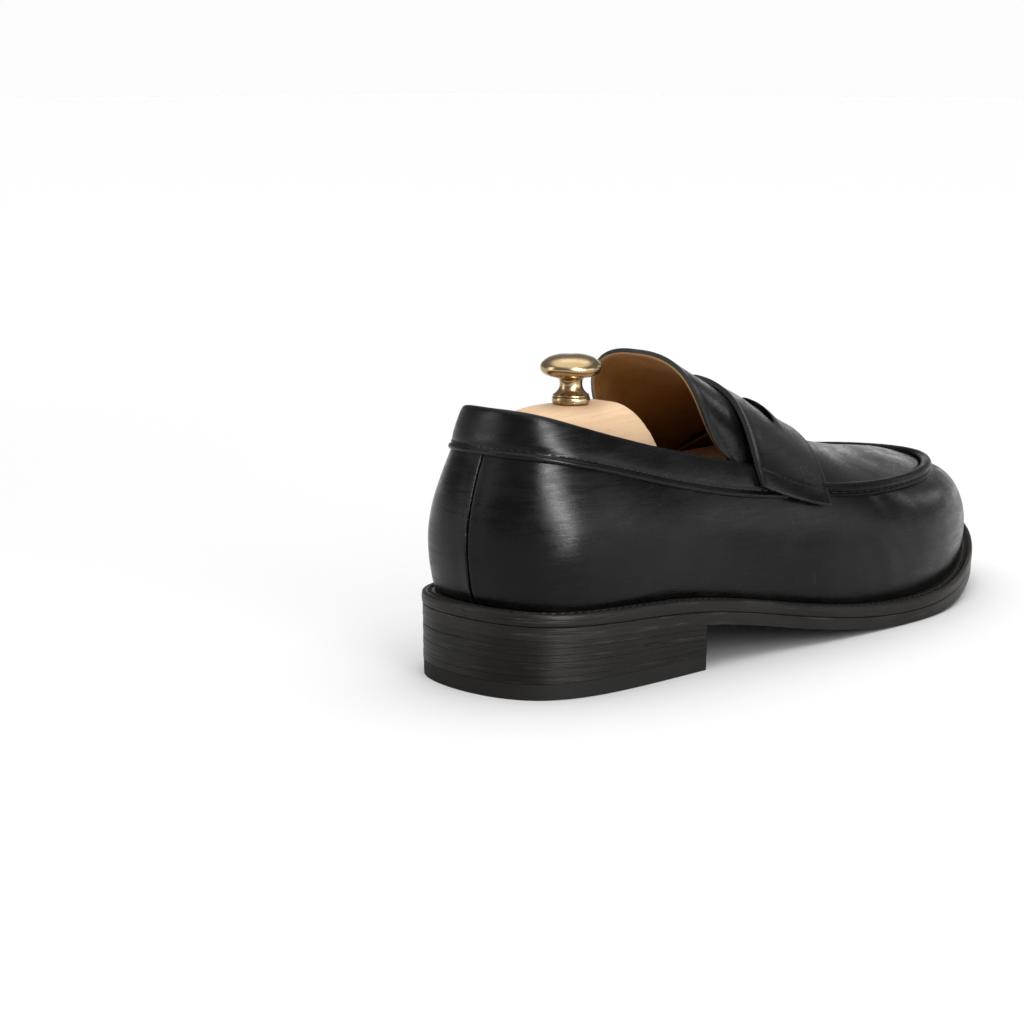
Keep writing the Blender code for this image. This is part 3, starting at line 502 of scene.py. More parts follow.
def lathe(name, profile, centre_x, finish, steps=96):
    """Turned piece about a vertical axis on the middle line, through a smoothed profile."""
    rows = np.asarray(profile, float)
    knots = lengths(rows)
    fine = open_spline(knots, rows, np.linspace(0, knots[-1], len(rows) * 4))
    angles = turns(steps)
    loops = []
    for radius, height in fine:
        radius = max(radius, 0.01)
        loops.append(np.column_stack([centre_x + radius * np.cos(angles),
                                      radius * np.sin(angles), np.full(steps, height)]))
    return sweep(name, loops, finish)


def along_path(path, normal, distance):
    """Points and normals at distances along a row of points."""
    knots = lengths(path)
    spot, up = (np.column_stack([np.interp(distance, knots, column) for column in rows.T])
                for rows in (path, normal))
    return spot, unit(up)


def stitches(name, path, normal, finish, length, gap, radius, sink):
    """Row of separate thread stitches along a path, each dipping into the leather."""
    total = lengths(path)[-1]
    pitch = length + gap
    share = np.array([0.0, 0.12, 0.35, 0.65, 0.88, 1.0])
    girth = np.array([0.55, 0.95, 1.0, 1.0, 0.95, 0.55])
    lift = np.array([-1.3, -0.2, 0.35, 0.35, -0.2, -1.3]) - sink
    sides = 8
    verts = []
    faces = []
    for number in range(int(total // pitch)):
        start = number * pitch + gap / 2
        spot, up = along_path(path, normal, start + share * length)
        side = np.cross(unit(np.gradient(spot, axis=0)), up)
        base = len(verts)
        for k in range(len(share)):
            centre = spot[k] + up[k] * lift[k] * radius
            for a in turns(sides):
                verts.append(centre + radius * girth[k] * (
                    side[k] * math.cos(a) + up[k] * math.sin(a)))
        faces += grid_faces(len(share), sides, False, True, base)
        faces.append(tuple(base + j for j in range(sides)))
        faces.append(tuple(base + (len(share) - 1) * sides + j for j in range(sides)))
    verts = np.array(verts)
    return finish_mesh(name, verts, faces, finish, verts)


# ---------------- finishes

def put(tree, socket, value):
    """Give an input a link or a constant."""
    if isinstance(value, bpy.types.NodeSocket):
        tree.links.new(value, socket)
    else:
        socket.default_value = value


def add_node(tree, kind, inputs, **settings):
    """New shader node; its inputs, by name or number, are links or constants."""
    node = tree.nodes.new("ShaderNode" + kind)
    for name, value in settings.items():
        setattr(node, name, value)
    for key, value in inputs.items():
        put(tree, node.inputs[key], value)
    return node


def smooth_range(tree, value, low, high, to_low, to_high):
    """Value from low..high to to_low..to_high, clamped, with smooth ends."""
    inputs = {"Value": value, "From Min": low, "From Max": high, "To Min": to_low,
              "To Max": to_high}
    node = add_node(tree, "MapRange", inputs, interpolation_type="SMOOTHSTEP")
    return node.outputs["Result"]


def tinted(colour, factor):
    """Colour made lighter or darker by a factor."""
    return tuple(factor * c for c in colour)


class Finish:
    """A material with a small language for its nodes."""

    def __init__(self, name, **fixed):
        self.material = bpy.data.materials.new(name)
        self.material.use_nodes = True
        self.tree = self.material.node_tree
        self.shader = self.tree.nodes["Principled BSDF"]
        for socket, value in fixed.items():
            self.shader.inputs[socket.replace("_", " ")].default_value = value
        self.coord = self.add("TexCoord").outputs["Object"]

    def add(self, kind, inputs=None, **settings):
        return add_node(self.tree, kind, inputs or {}, **settings)

    def attribute(self, name, output="Vector"):
        return self.add("Attribute", attribute_name=name).outputs[output]

    def stretch(self, scale, turn=(0, 0, 0), vector=None):
        """Coordinates times scale, turned by angles in degrees."""
        return self.add("Mapping", {
            "Vector": vector or self.coord, "Scale": scale,
            "Rotation": [math.radians(angle) for angle in turn]}).outputs[0]

    def noise(self, scale, detail=3.0, rough=0.6, distortion=0.0, vector=None):
        return self.add("TexNoise", {
            "Vector": vector or self.coord, "Scale": scale, "Detail": detail,
            "Roughness": rough, "Distortion": distortion}).outputs["Fac"]

    def streaks(self, scale, turn=(0, 0, 0), detail=3.0, rough=0.6, distortion=0.0,
                vector=None):
        """Noise that is drawn out; scale is features per metre along each axis."""
        return self.noise(1.0, detail, rough, distortion, self.stretch(scale, turn, vector))

    def cells(self, scale, vector=None):
        inputs = {"Vector": vector or self.coord, "Scale": scale}
        return self.add("TexVoronoi", inputs).outputs["Distance"]

    def remap(self, value, low, high, to_low=0.0, to_high=1.0):
        return smooth_range(self.tree, value, low, high, to_low, to_high)

    def math(self, operation, a, b):
        return self.add("Math", {0: a, 1: b}, operation=operation).outputs[0]

    def mix(self, factor, first, second):
        """Blend of two colours, by the colour sockets of a Mix node."""
        first, second = ((*c, 1.0) if isinstance(c, tuple) else c for c in (first, second))
        return self.add("Mix", {0: factor, 6: first, 7: second}, data_type="RGBA").outputs[2]

    def colour(self, value):
        put(self.tree, self.shader.inputs["Base Color"], value)

    def total(self, values):
        return functools.reduce(lambda a, b: self.math("ADD", a, b), values)

    def roughness(self, *values):
        """Roughness as the sum of values."""
        put(self.tree, self.shader.inputs["Roughness"], self.total(values))

    def done(self, *relief):
        """The material, with relief: pairs of a pattern and its height in millimetres."""
        if relief:
            height = self.total([self.math("MULTIPLY", *pair) for pair in relief])
            bump = self.add("Bump", {"Strength": 1.0, "Distance": MM, "Height": height})
            put(self.tree, self.shader.inputs["Normal"], bump.outputs[0])
        return self.material


def calf(name, level=0.18, rough=0.26):
    """Polished black calf: fine pores, faint brushed lines, scratches and worn rims.

    The rim attribute is positive where the edge is worn pale, negative inside the back seam's
    groove, where it paints shade.
    """
    made = Finish(name, Specular_IOR_Level=level, IOR=1.45)
    cloud = made.noise(28, 4)
    patch = made.noise(75, distortion=0.6)
    pores = made.cells(1500, made.stretch((1.0, 1.0, 1.25)))
    fine = made.noise(2600)
    brushed = made.streaks((50, 50, 1100), (2, 3, 0), 5, 0.75)
    combed = made.streaks((900, 900, 60), (3, 4, 0))
    haze = made.streaks((45, 45, 330), (8, 14, 30), 4, 0.7, 0.4)
    scuff = made.streaks((700, 40, 90), (24, 12, 38), distortion=0.3)
    scratch = made.remap(scuff, 0.735, 0.79)
    wear_and_seam_shade = made.attribute("rim", "Fac")
    base = made.mix(made.remap(cloud, 0.35, 0.7), (0.0022, 0.0022, 0.0024),
                    (0.0050, 0.0050, 0.0050))
    base = made.mix(made.remap(patch, 0.55, 0.8, 0.0, 0.5), base, (0.011, 0.0105, 0.0095))
    base = made.mix(made.math("MULTIPLY", scratch, 0.5), base, (0.07, 0.067, 0.062))
    base = made.mix(made.math("MULTIPLY", wear_and_seam_shade, 0.8), base, (0.075, 0.072, 0.066))
    # Painted shade: near black inside the back seam's groove, where the rim value is negative.
    made.colour(made.mix(made.remap(wear_and_seam_shade, -0.1, -0.8), base, (0.001, 0.001, 0.001)))
    made.roughness(made.remap(cloud, 0.3, 0.75, rough - 0.05, rough + 0.08),
                   made.remap(fine, 0.3, 0.7, -0.03, 0.05),
                   made.math("MULTIPLY", scratch, 0.1),
                   made.remap(haze, 0.35, 0.65, -0.04, 0.07))
    return made.done((haze, 0.08), (pores, 0.010), (fine, 0.006), (brushed, 0.04),
                     (combed, 0.008), (scratch, -0.008), (patch, 0.02))


def burnished(name, dark, light, lines=1.0):
    """Burnished sole edge: brown under black, with fine lines that follow the edge, and painted
    highlights along them.
    """
    made = Finish(name, Specular_IOR_Level=0.17, IOR=1.45)
    surf = made.attribute("surf")
    cloud = made.noise(40, 4)
    long_lines = made.streaks((40, 1300, 1), detail=5, rough=0.7, vector=surf)
    cut = made.streaks((12, 560, 1), vector=surf)
    grooves = made.remap(cut, 0.60, 0.68)
    glint = made.remap(long_lines, 0.57, 0.68)
    dashes = made.streaks((55, 180, 1), vector=surf)
    # lip is the strip beside each groove, painted as a highlight below.
    lip = made.math("MULTIPLY", made.math("SUBTRACT", made.remap(cut, 0.55, 0.60), grooves),
                    made.remap(dashes, 0.45, 0.62))
    base = made.mix(made.remap(cloud, 0.3, 0.7), dark, light)
    # Painted highlights: the glint lines and the groove lips are mixed towards a lighter
    # colour.
    base = made.mix(made.math("MULTIPLY", glint, 0.8 * lines), base, tinted(light, 2.8))
    base = made.mix(made.math("MULTIPLY", lip, 0.7 * lines), base, tinted(light, 5.0))
    made.colour(made.mix(made.math("MULTIPLY", grooves, 0.85 * lines), base,
                         (0.002, 0.0018, 0.0015)))
    made.roughness(made.remap(long_lines, 0.3, 0.75, 0.32, 0.50))
    return made.done((long_lines, 0.22 * lines), (grooves, -0.2 * lines),
                     (made.cells(900), 0.012))


def lining_leather(name, dark, light, raw):
    """Unfinished tan lining leather: soft nap, blotches, pale raw rims."""
    made = Finish(name, Specular_IOR_Level=0.15, Sheen_Weight=0.05, Sheen_Roughness=0.5)
    cloud = made.noise(35, 5, 0.62)
    fibre = made.noise(1100, 4, 0.65)
    base = made.mix(made.remap(cloud, 0.3, 0.72), dark, light)
    base = made.mix(made.remap(fibre, 0.45, 0.8, 0.0, 0.35), base, tinted(dark, 0.6))
    made.colour(made.mix(made.attribute("rim", "Fac"), base, raw))
    made.roughness(made.remap(fibre, 0.3, 0.7, 0.55, 0.78))
    return made.done((fibre, 0.03), (made.cells(1300), 0.025), (cloud, 0.15))


def beech(name):
    """Waxed pale beech: growth bands, fine pores and the short dark flecks of the wood."""
    made = Finish(name, Specular_IOR_Level=0.35, Coat_Weight=0.08, Coat_Roughness=0.35)
    fibre = made.streaks((18, 420, 420), (0, 0, 3), 4)
    band = made.streaks((5, 90, 90), (4, 6, 0), 3, 0.5, 0.5)
    fleck = made.streaks((260, 1900, 1900), (0, 3, 2), 2, 0.5)
    base = made.mix(made.remap(band, 0.3, 0.7), (0.72, 0.475, 0.285), (0.82, 0.575, 0.36))
    base = made.mix(made.remap(fibre, 0.35, 0.7, 0.0, 0.5), base, (0.65, 0.42, 0.24))
    made.colour(made.mix(made.remap(fleck, 0.66, 0.74, 0.0, 0.55), base, (0.40, 0.21, 0.10)))
    made.roughness(made.remap(fibre, 0.3, 0.7, 0.42, 0.55))
    return made.done((fibre, 0.03), (fleck, -0.02))


def brass(name):
    """Polished and slightly handled brass, with fine turning lines."""
    made = Finish(name, Metallic=1.0)
    cloud = made.noise(160, 4)
    turned = made.streaks((60, 60, 5200))
    made.colour(made.mix(made.remap(cloud, 0.35, 0.75), (0.39, 0.29, 0.16),
                         (0.31, 0.22, 0.115)))
    made.roughness(made.remap(cloud, 0.3, 0.75, 0.18, 0.30),
                   made.remap(turned, 0.4, 0.7, 0.0, 0.04))
    return made.done((turned, 0.0018), (cloud, 0.006))


def rubber(name):
    """Matt black rubber with moulding marks and dust in its pores."""
    made = Finish(name, Specular_IOR_Level=0.17)
    grain = made.noise(1500)
    lines = made.streaks((20, 900, 1), vector=made.attribute("surf"))
    cloud = made.noise(50)
    made.colour(made.mix(made.remap(cloud, 0.3, 0.7), (0.0050, 0.0044, 0.0036),
                         (0.0090, 0.0079, 0.0066)))
    made.roughness(made.remap(grain, 0.3, 0.7, 0.6, 0.78))
    return made.done((grain, 0.02), (lines, 0.04))


def fibre_board(name, dark, light, scale):
    """Pressed board or cork: grains of two tones."""
    made = Finish(name, Specular_IOR_Level=0.2)
    grains = made.cells(scale)
    fine = made.noise(scale * 1.7, 4)
    made.colour(made.mix(made.remap(grains, 0.1, 0.7), dark, light))
    made.roughness(made.remap(fine, 0.3, 0.7, 0.75, 0.95))
    return made.done((grains, 0.1), (fine, 0.05))


def grained(name, dark, light, rough, height, streaks, **fixed):
    """Two tones in one fine grain: waxed twisted thread or dull plated steel."""
    made = Finish(name, **fixed)
    grain = made.streaks(*streaks)
    made.colour(made.mix(grain, dark, light))
    made.roughness(made.remap(grain, 0.3, 0.7, *rough))
    return made.done((grain, height))


def thread(name, dark, light):
    return grained(name, dark, light, (0.42, 0.62), 0.03,
                   ((3200, 3200, 3200), (35, 20, 40), 2, 0.5), Specular_IOR_Level=0.2)


# ---------------- bottom unit

def plate_grid(inset, height, end, steps, columns, front=None):
    """Grid over the bottom's outline, from the back to a station or a straight front.

    Height is a function of x.
    """
    t = np.linspace(0.0, end, steps)
    outer = welt_edge(t, inset)
    inner = welt_edge(STATIONS - t, inset)
    if front is not None:
        outer[-1, 0] = inner[-1, 0] = front
    w = np.linspace(0, 1, columns)[None, :, None]
    flat = outer[:, None] * (1 - w) + inner[:, None] * w
    return np.concatenate([flat, height(flat[:, :, 0])[:, :, None]], axis=2)


def outline(grid):
    """Outline of a plate grid as one closed row: outer side forward, inner side back."""
    return np.concatenate([grid[:, 0], grid[-1, 1:-1], grid[::-1, -1], grid[0, -2:0:-1]])


def plate(name, top, low, finish, bevel):
    """Solid plate between two grids whose side wall carries its own surf coordinates."""
    index = np.arange(top[:, :, 0].size).reshape(top.shape[:2])
    rim = outline(index)
    points, faces = shell(top, low, False, zip(rim, np.roll(rim, -1)))
    surf = points * (1, 1, 0)
    for wall in (rim, index.size + rim):
        surf[wall, 0] = lengths(outline(top))
        surf[wall, 1] = points[wall, 2] - welt_z(points[wall, 0])
    made = finish_mesh(name, points, faces, finish, surf, angle=40)
    round_edges(made, bevel)
    return made


def breast_station():
    """Station where the outline reaches the front of the heel."""
    t = np.linspace(2, 4, 400)
    return float(np.interp(BREAST_X, welt_edge(t, HEEL_INSET)[:, 0], t))


def level_height(level, offset):
    """Function of x: height of the joint over a number of lifts, moved by offset."""
    def height(x):
        seat = welt_z(x) - SOLE_BOTTOM
        return TOP_PIECE + (seat - TOP_PIECE) * level / LIFTS + offset
    return height


def build_heel(edge, black_rubber):
    """Rubber top piece and the lifts above it, each with its edge cut a little apart."""
    end = breast_station()

    def grid(inset, height):
        return plate_grid(inset, height, end, 60, 9, BREAST_X)

    top, low = TOP_PIECE_INSETS
    base = plate("heel_top_rubber", grid(top, lambda x: np.full_like(x, TOP_PIECE - 0.1)),
                 grid(low, np.zeros_like), black_rubber, 0.45)
    attach(base, "heel_top_piece")
    for i, inset in enumerate(LIFT_INSETS):
        lift = plate(f"heel_lift_edge_{i + 1}", grid(inset, level_height(i + 1, -0.06)),
                     grid(inset, level_height(i, 0.02)), edge, 0.12)
        attach(lift, f"heel_lift_{i + 1}")


def build_outsole(edge):
    def grid(height):
        return plate_grid(SOLE_INSET - 0.1, lambda x: welt_z(x) + height, TOE, 150, 15)

    sole = plate("outsole_leather", grid(-WELT - 0.12), grid(-SOLE_BOTTOM), edge, 0.6)
    attach(sole, "outsole")


def build_welt(edge, black_thread):
    t = np.linspace(0, STATIONS, 440, endpoint=False)
    grid = np.stack([on_welt(welt_edge(t, inset), height)
                     for inset, height in smooth_profile(WELT_PROFILE, 54)], axis=1)
    welt = sweep("welt_leather", grid, edge, ring=True)
    attach(welt, "welt")
    path = on_welt(welt_edge(t, 2.55), -0.12)
    up = np.tile((0.0, 0.0, 1.0), (len(path), 1))
    row = stitches("welt_stitches", path, up, black_thread, 2.5, 0.7, 0.36, 0.16)
    attach(row)


# ---------------- upper

def build_skirt(leather):
    """Skirt with its back seam, soft hollows and the creases of wear."""
    near = np.linspace(-0.16, 0.16, 49)
    far = np.linspace(0.19, STATIONS - 0.19, 300)
    v = np.linspace(0, 1, 40)
    grid = skirt(np.concatenate([near, far]), v)
    normal = grid_normals(grid, ring=True)
    x, y, z = np.moveaxis(grid, 2, 0)
    behind = fade(x - 5.0, 22.0)
    groove = SEAM_DEPTH * fade(y, SEAM_WIDTH, 4)
    ridge = 0.45 * fade(y, 3.2)
    swell = 0.30 * bumps(grid, 26.0, 1) + 0.10 * bumps(grid, 9.0, 2)
    slant = np.stack([x + 0.8 * z, 0.3 * y, 0.45 * z], axis=2)
    crease = 0.4 * fade(x - 178.0, 22.0) * bumps(slant, 8.0, 3)
    shift = (swell + crease) * (1 - fade(v, 0.06)) + behind * (ridge - groove)
    # The negative rim along the back seam paints shade into its groove.
    made = sheet("skirt_leather", grid + normal * shift[:, :, None], grid - normal * LEATHER,
                 leather, ring=True, rim=-behind * fade(y, 0.55, 4))
    attach(made, "skirt")


def build_band(leather, black_thread):
    """Collar band: folded lower edge, stitched channel, rounded topline."""
    low, high = np.moveaxis(collar(np.linspace(-BAND_END, BAND_END, 312), [0.0, 1.0]), 1, 0)
    rise = high - low
    height = np.linalg.norm(rise, axis=1)
    up = rise / height[:, None]
    out = unit(np.cross(np.gradient((low + high) / 2, axis=0), up))
    grid = np.array([
        smooth_profile([low[k] + up[k] * (height[k] * from_top + lift) + out[k] * reach
                        for from_top, lift, reach in BAND_PROFILE], 64)
        for k in range(len(low))])
    grid += out[:, None] * 0.12 * bumps(grid, 14.0, 4)[:, :, None]
    attach(sweep("collar_band_leather", grid, leather), "collar_band")
    row = stitches("collar_stitches", low + up * 1.9 + out * 0.66, out, black_thread,
                   2.2, 0.75, 0.24, 0.1)
    attach(row)


def build_roll(leather, black_thread):
    """Raised seam between apron and skirt, pinched at every stitch."""
    t = np.linspace(ROLL_START, STATIONS - ROLL_START, 440)
    top = closed_spline(RIBS, t)[:, 3:6]
    out = outward(t, [3, 4])
    profile = smooth_profile(ROLL_PROFILE, 36)
    pinch = 0.012 * np.cos(2 * math.pi * lengths(top) / ROLL_PITCH)
    under = np.clip((np.minimum(t, STATIONS - t) - ROLL_START) / 0.35, 0, 1)
    hidden = 1.6 * (1 - under)
    grid = np.zeros((len(t), len(profile), 3))
    for k, (reach, rise) in enumerate(profile):
        spread = 1 + pinch * (0.4 if rise > 3.6 else 1.0)
        grid[:, k, :2] = top[:, :2] + out * (-0.6 + (reach + 0.6) * spread - hidden)[:, None]
        grid[:, k, 2] = top[:, 2] + rise * (1 + 0.25 * pinch)
    attach(sweep("seam_roll_leather", grid, leather), "apron_seam_roll")
    path = np.column_stack([top[:, :2] + out * (0.85 - hidden)[:, None], top[:, 2] + 0.95])
    side = np.column_stack([out, np.full(len(t), 0.15)])
    row = stitches("apron_stitches", path, side, black_thread, 3.3, ROLL_PITCH - 3.3, 0.22, 0.2)
    attach(row)


def build_apron(leather):
    """Apron, smoothed along its crown, with the creases of wear across it."""
    t = np.concatenate([np.linspace(5.06, 10, 70), np.linspace(10.06, TOE - 0.12, 18)])
    w = np.linspace(-1, 1, 81)
    grid = apron(t, w)
    edge = 0.8 * np.clip((np.abs(w) - 0.88) / 0.12, 0, 1)**2
    front = 0.8 * np.clip((t - 10.2) / 0.6, 0, 1)**2
    flex = fade(grid[:, :, 0] - 182.0, 16.0) * (1 - w[None, :]**2)
    swell = 0.22 * bumps(grid, 22.0, 5) + 0.18 * flex * bumps(grid * (1.0, 0.25, 1.0), 6.0, 6)
    grid[:, :, 2] += swell - np.maximum(edge[None, :], front[:, None])
    ease = 0.5 * np.clip((0.5 - np.abs(w[1:-1])) / 0.25, 0, 1)
    for _ in range(APRON_EASE):
        level = (grid[:, :-2, 2] + grid[:, 2:, 2]) / 2
        grid[:, 1:-1, 2] += ease * (level - grid[:, 1:-1, 2])
    made = sheet("apron_leather", grid, grid - (0, 0, LEATHER - 0.6), leather)
    attach(made, "apron")


def build_apron_lining(lining):
    """Lining under the apron, seen down the throat."""
    grid = apron(np.linspace(5.06, TOE - 0.8, 60), np.linspace(-0.8, 0.8, 61))
    swell = 0.12 * bumps(grid, 12.0, 10)[:, :, None] * (0, 0, 1)
    top = grid - (0, 0, LEATHER + GAP)
    made = sheet("apron_lining_leather", top, top - (0, 0, LINING) - swell, lining)
    attach(made, "apron_lining")


def edge_distance(grid):
    """Distance of each grid point from the piece's four sides: rear, front, and ends."""
    along = np.stack([lengths(grid[:, j]) for j in range(grid.shape[1])], axis=1)
    across = np.stack([lengths(row) for row in grid])
    return along, along[-1:] - along, across, across[:, -1:] - across


def cut_slot(made, centre, finish):
    """Cut a lens-shaped hole down through a piece."""
    half_x, half_y = SLOT
    lens = [(centre[0] - SLOT_BOW * (half_y * math.sin(a))**2 + half_x * math.cos(a),
             half_y * math.sin(a)) for a in turns(72)]
    loops = [[(x, y, z) for x, y in lens] for z in (centre[2] - 16, centre[2] + 9)]
    tool = sweep("slot_tool", loops, finish)
    change = made.modifiers.new("Slot", "BOOLEAN")
    change.object = tool
    change.solver = "EXACT"
    bpy.context.view_layer.update()
    graph = bpy.context.evaluated_depsgraph_get()
    made.data = bpy.data.meshes.new_from_object(made.evaluated_get(graph))
    made.modifiers.clear()
    bpy.data.objects.remove(tool)
    made.data.shade_smooth()
    made.data.set_sharp_from_angle(angle=math.radians(50))


def build_strap(leather, black_thread):
    """Saddle strap: rolled edges, a lens-shaped slot with a lip, stitched ends."""
    grid = strap(np.linspace(0, 2, 54), np.linspace(0, 1, 170))
    normal = grid_normals(grid)
    rear, front, outer_end, inner_end = edge_distance(grid)
    end = np.minimum(outer_end, inner_end)
    roll = 0.3 * fade(rear, 0.9) - 0.12 * fade(rear - 2.4, 0.9) + 0.15 * fade(front, 1.2)
    channel = -0.22 * fade(end - STRAP_STITCH, 0.5)
    crown = strap([1.0], [0.5])[0, 0]
    half_x, half_y = SLOT
    dx = grid[:, :, 0] - crown[0] + SLOT_BOW * grid[:, :, 1]**2
    mouth = np.clip(1 - (grid[:, :, 1] / (half_y * 1.12))**2, 0, 1)
    lip = 1.5 * mouth * fade(dx - half_x * 0.9, 3.4)
    dip = -0.7 * mouth * fade(dx + half_x, 4.0)
    swell = 0.18 * bumps(grid, 18.0, 7)
    outer = grid + normal * (roll + channel + lip + dip + swell)[:, :, None]
    rim = 0.55 * fade(np.minimum(rear, np.minimum(front, end)), 0.35)
    made = sheet("saddle_strap_leather", outer, grid - normal * (STRAP - 0.1), leather, rim=rim)
    cut_slot(made, crown, leather)
    round_edges(made, 0.42, angle=60)
    attach(made, "saddle_strap")
    for number, distance in enumerate((outer_end, inner_end), 1):
        column = np.argmin(np.abs(distance[len(grid) // 2] - STRAP_STITCH))
        row = stitches(f"strap_stitches_{number}", outer[2:-2, column], normal[2:-2, column],
                       black_thread, 1.9, 0.8, 0.19, 0.5)
        attach(row)


def build_tongue(leather, lining, tan_thread):
    """Tongue of black leather over tan lining, whose raw rim shows.

    Both run on below the apron as a tail.
    """
    grid = tongue(np.linspace(0, 1.98, 60), np.linspace(0, 1, 110))
    normal = grid_normals(grid)
    rear = edge_distance(grid)[0]
    tail = np.array([3.0, 6.0, 9.0, 12.0])[:, None, None] * (1.0, 0.0, -0.42) - (0, 0, 1.0)

    def tailed(depth):
        """The grid moved inward by a depth, with the tail's rows added."""
        moved = grid - normal * depth
        return np.concatenate([moved, moved[-1:] + tail])

    def rim(width, amount):
        """Worn rim along the rear edge, with none on the tail."""
        return np.pad(amount * fade(rear, width), ((0, len(tail)), (0, 0)))

    swell = 0.2 * bumps(grid, 20.0, 8) - 0.18 * fade(rear - 2.8, 0.7)
    made = sheet("tongue_leather", tailed(-swell[:, :, None]), tailed(LEATHER), leather,
                 bevel=0.4, rim=rim(0.4, 0.7))
    attach(made, "tongue")
    top = LEATHER + 0.05
    low = top + LINING + 0.15
    groove = 0.15 * fade(rear - TONGUE_STITCH, 0.4) + 0.55 * fade(rear, 1.2)
    skin = sheet("tongue_lining_leather", tailed(top), tailed((low - groove)[:, :, None]),
                 lining, bevel=0.25, rim=rim(0.3, 1.0))
    attach(skin, "tongue_lining")
    columns = np.arange(3, grid.shape[1] - 3)
    rows = np.argmin(np.abs(rear[:, columns] - TONGUE_STITCH), axis=0)
    path = grid[rows, columns] - normal[rows, columns] * (low - 0.15)
    row = stitches("tongue_stitches", path, -normal[4, columns], tan_thread, 2.2, 0.8, 0.2, 0.1)
    attach(row)


def build_lining(lining):
    """Lining of the quarters, smooth up to the topline."""
    v = np.concatenate([np.linspace(0.1, 0.66, 22), np.linspace(0.70, LINING_TOP, 12)])
    grid = inner_wall(np.linspace(-LINING_END, LINING_END, 160), v)
    normal = grid_normals(grid)
    inside = LEATHER + 2 * GAP + STIFFENER
    fall = np.interp(v, (0.6, LINING_TOP), (inside, LEATHER + 0.1))[None, :, None]
    swell = 0.15 * bumps(grid, 16.0, 9)[:, :, None]
    rim = np.tile(fade(LINING_TOP - v, 0.012), (len(grid), 1))
    made = sheet("quarter_lining_leather", grid - normal * fall,
                 grid - normal * (fall + LINING + swell), lining, bevel=0.2, rim=rim)
    attach(made, "quarter_lining")


# ---------------- shoe tree

def block_loop(z, inset, steps=60):
    """Outline of the heel block at one height, drawn in by inset but flat in front."""
    middle, half = BLOCK_MIDDLE
    side = [(BLOCK_FRONT, 15.5), (81.0, 17.2), (74.0, 18.5), (65.0, half)]
    for angle in np.linspace(0, math.pi / 2, steps):
        side.append((middle - (middle - BLOCK_REAR) * math.sin(angle), half * math.cos(angle)))
    loop = []
    for x, y in side + [(x, -y) for x, y in reversed(side[:-1])]:
        reach = math.hypot(x - middle, y)
        scale = max(reach - inset, 0.5) / reach
        forward = x if x >= BLOCK_FRONT else middle + (x - middle) * scale
        loop.append((forward, y * scale, z))
    return loop


def build_block(wood):
    """Domed heel block with its sloping shoulder, sanded round."""
    mesh = bpy.data.meshes.new("block")
    data = bmesh.new()
    rings = [[data.verts.new(p) for p in block_loop(z, inset)] for z, inset in BLOCK_LEVELS]
    for first, second in zip(rings, rings[1:]):
        for i in range(len(first)):
            k = (i + 1) % len(first)
            data.faces.new((first[i], first[k], second[k], second[i]))
    data.faces.new(rings[0])
    data.faces.new(rings[-1])
    for along, off, slope in BLOCK_CUTS:
        angle = math.radians(slope)
        x = HINGE[0] - along * math.cos(angle) + off * math.sin(angle)
        z = HINGE[1] + along * math.sin(angle) + off * math.cos(angle)
        bmesh.ops.bisect_plane(
            data, geom=data.verts[:] + data.edges[:] + data.faces[:], plane_co=(x, 0, z),
            plane_no=(math.sin(angle), 0, math.cos(angle)), clear_outer=True)
        bmesh.ops.contextual_create(data, geom=[e for e in data.edges if e.is_boundary])
    bmesh.ops.recalc_face_normals(data, faces=data.faces)
    for vert in data.verts:
        vert.co = Vector(place([vert.co])[0])
    data.to_mesh(mesh)
    data.free()
    mesh.materials.append(wood)
    made = new_object("heel_block_wood", mesh)
    remesh = made.modifiers.new("Even", "REMESH")
    remesh.mode = "VOXEL"
    remesh.voxel_size = 0.7 * MM
    remesh.use_smooth_shade = True
    sanded = made.modifiers.new("Sanded", "SMOOTH")
    sanded.factor = 0.5
    sanded.iterations = 22
    attach(made, "tree_heel_block", "heel_block")


def build_knob(metal):
    profile = [(radius, BLOCK_TOP + height) for radius, height in KNOB_PROFILE]
    made = lathe("knob_brass", profile, KNOB_X, metal)
    attach(made, "tree_knob", "heel_block")


# ---------------- stage, light, camera

def stand(name, data, target, azimuth, elevation, distance, roll=0.0):
    """Put a light or the camera round the target, facing it; angles are in degrees.

    Azimuth 0 looks at the outer side of the shoe and -90 at its heel.
    """
    a = math.radians(azimuth)
    e = math.radians(elevation)
    back = Vector((math.sin(a) * math.cos(e), -math.cos(a) * math.cos(e), math.sin(e)))
    made = new_object(name, data)
    made.location = target + back * distance
    made.rotation_mode = "QUATERNION"
    turn = Quaternion((0, 0, 1), math.radians(roll))
    made.rotation_quaternion = (-back).to_track_quat("-Z", "Y") @ turn
    return made


def build_lights():
    """Softboxes, and gloss cards, which only show in reflections."""
    target = Vector((0, 0, LIGHT_TARGET))
    for name, azimuth, elevation, distance, size, power, roll, gloss_only in LIGHTS:
        light = bpy.data.lights.new(name, "AREA")
        light.shape = "RECTANGLE"
        light.size, light.size_y = size
        light.energy = power
        made = stand(name, light, target, azimuth, elevation, distance, roll)
        made.visible_diffuse = not gloss_only


def build_world():
    """White at the horizon, dim above it and bright overhead, like a lit studio ceiling."""
    world = bpy.data.worlds.new("studio")
    world.use_nodes = True
    tree = world.node_tree
    direction = add_node(tree, "TexCoord", {}).outputs["Generated"]
    rise = add_node(tree, "SeparateXYZ", {0: direction}).outputs["Z"]
    strength = WORLD_DIM
    for low, high, first, last in WORLD_BANDS:
        band = smooth_range(tree, rise, low, high, first, last)
        strength = add_node(tree, "Math", {0: band, 1: strength}).outputs[0]
    background = tree.nodes["Background"]
    put(tree, background.inputs["Color"], (1, 1, 1, 1))
    put(tree, background.inputs["Strength"], strength)
    bpy.context.scene.world = world


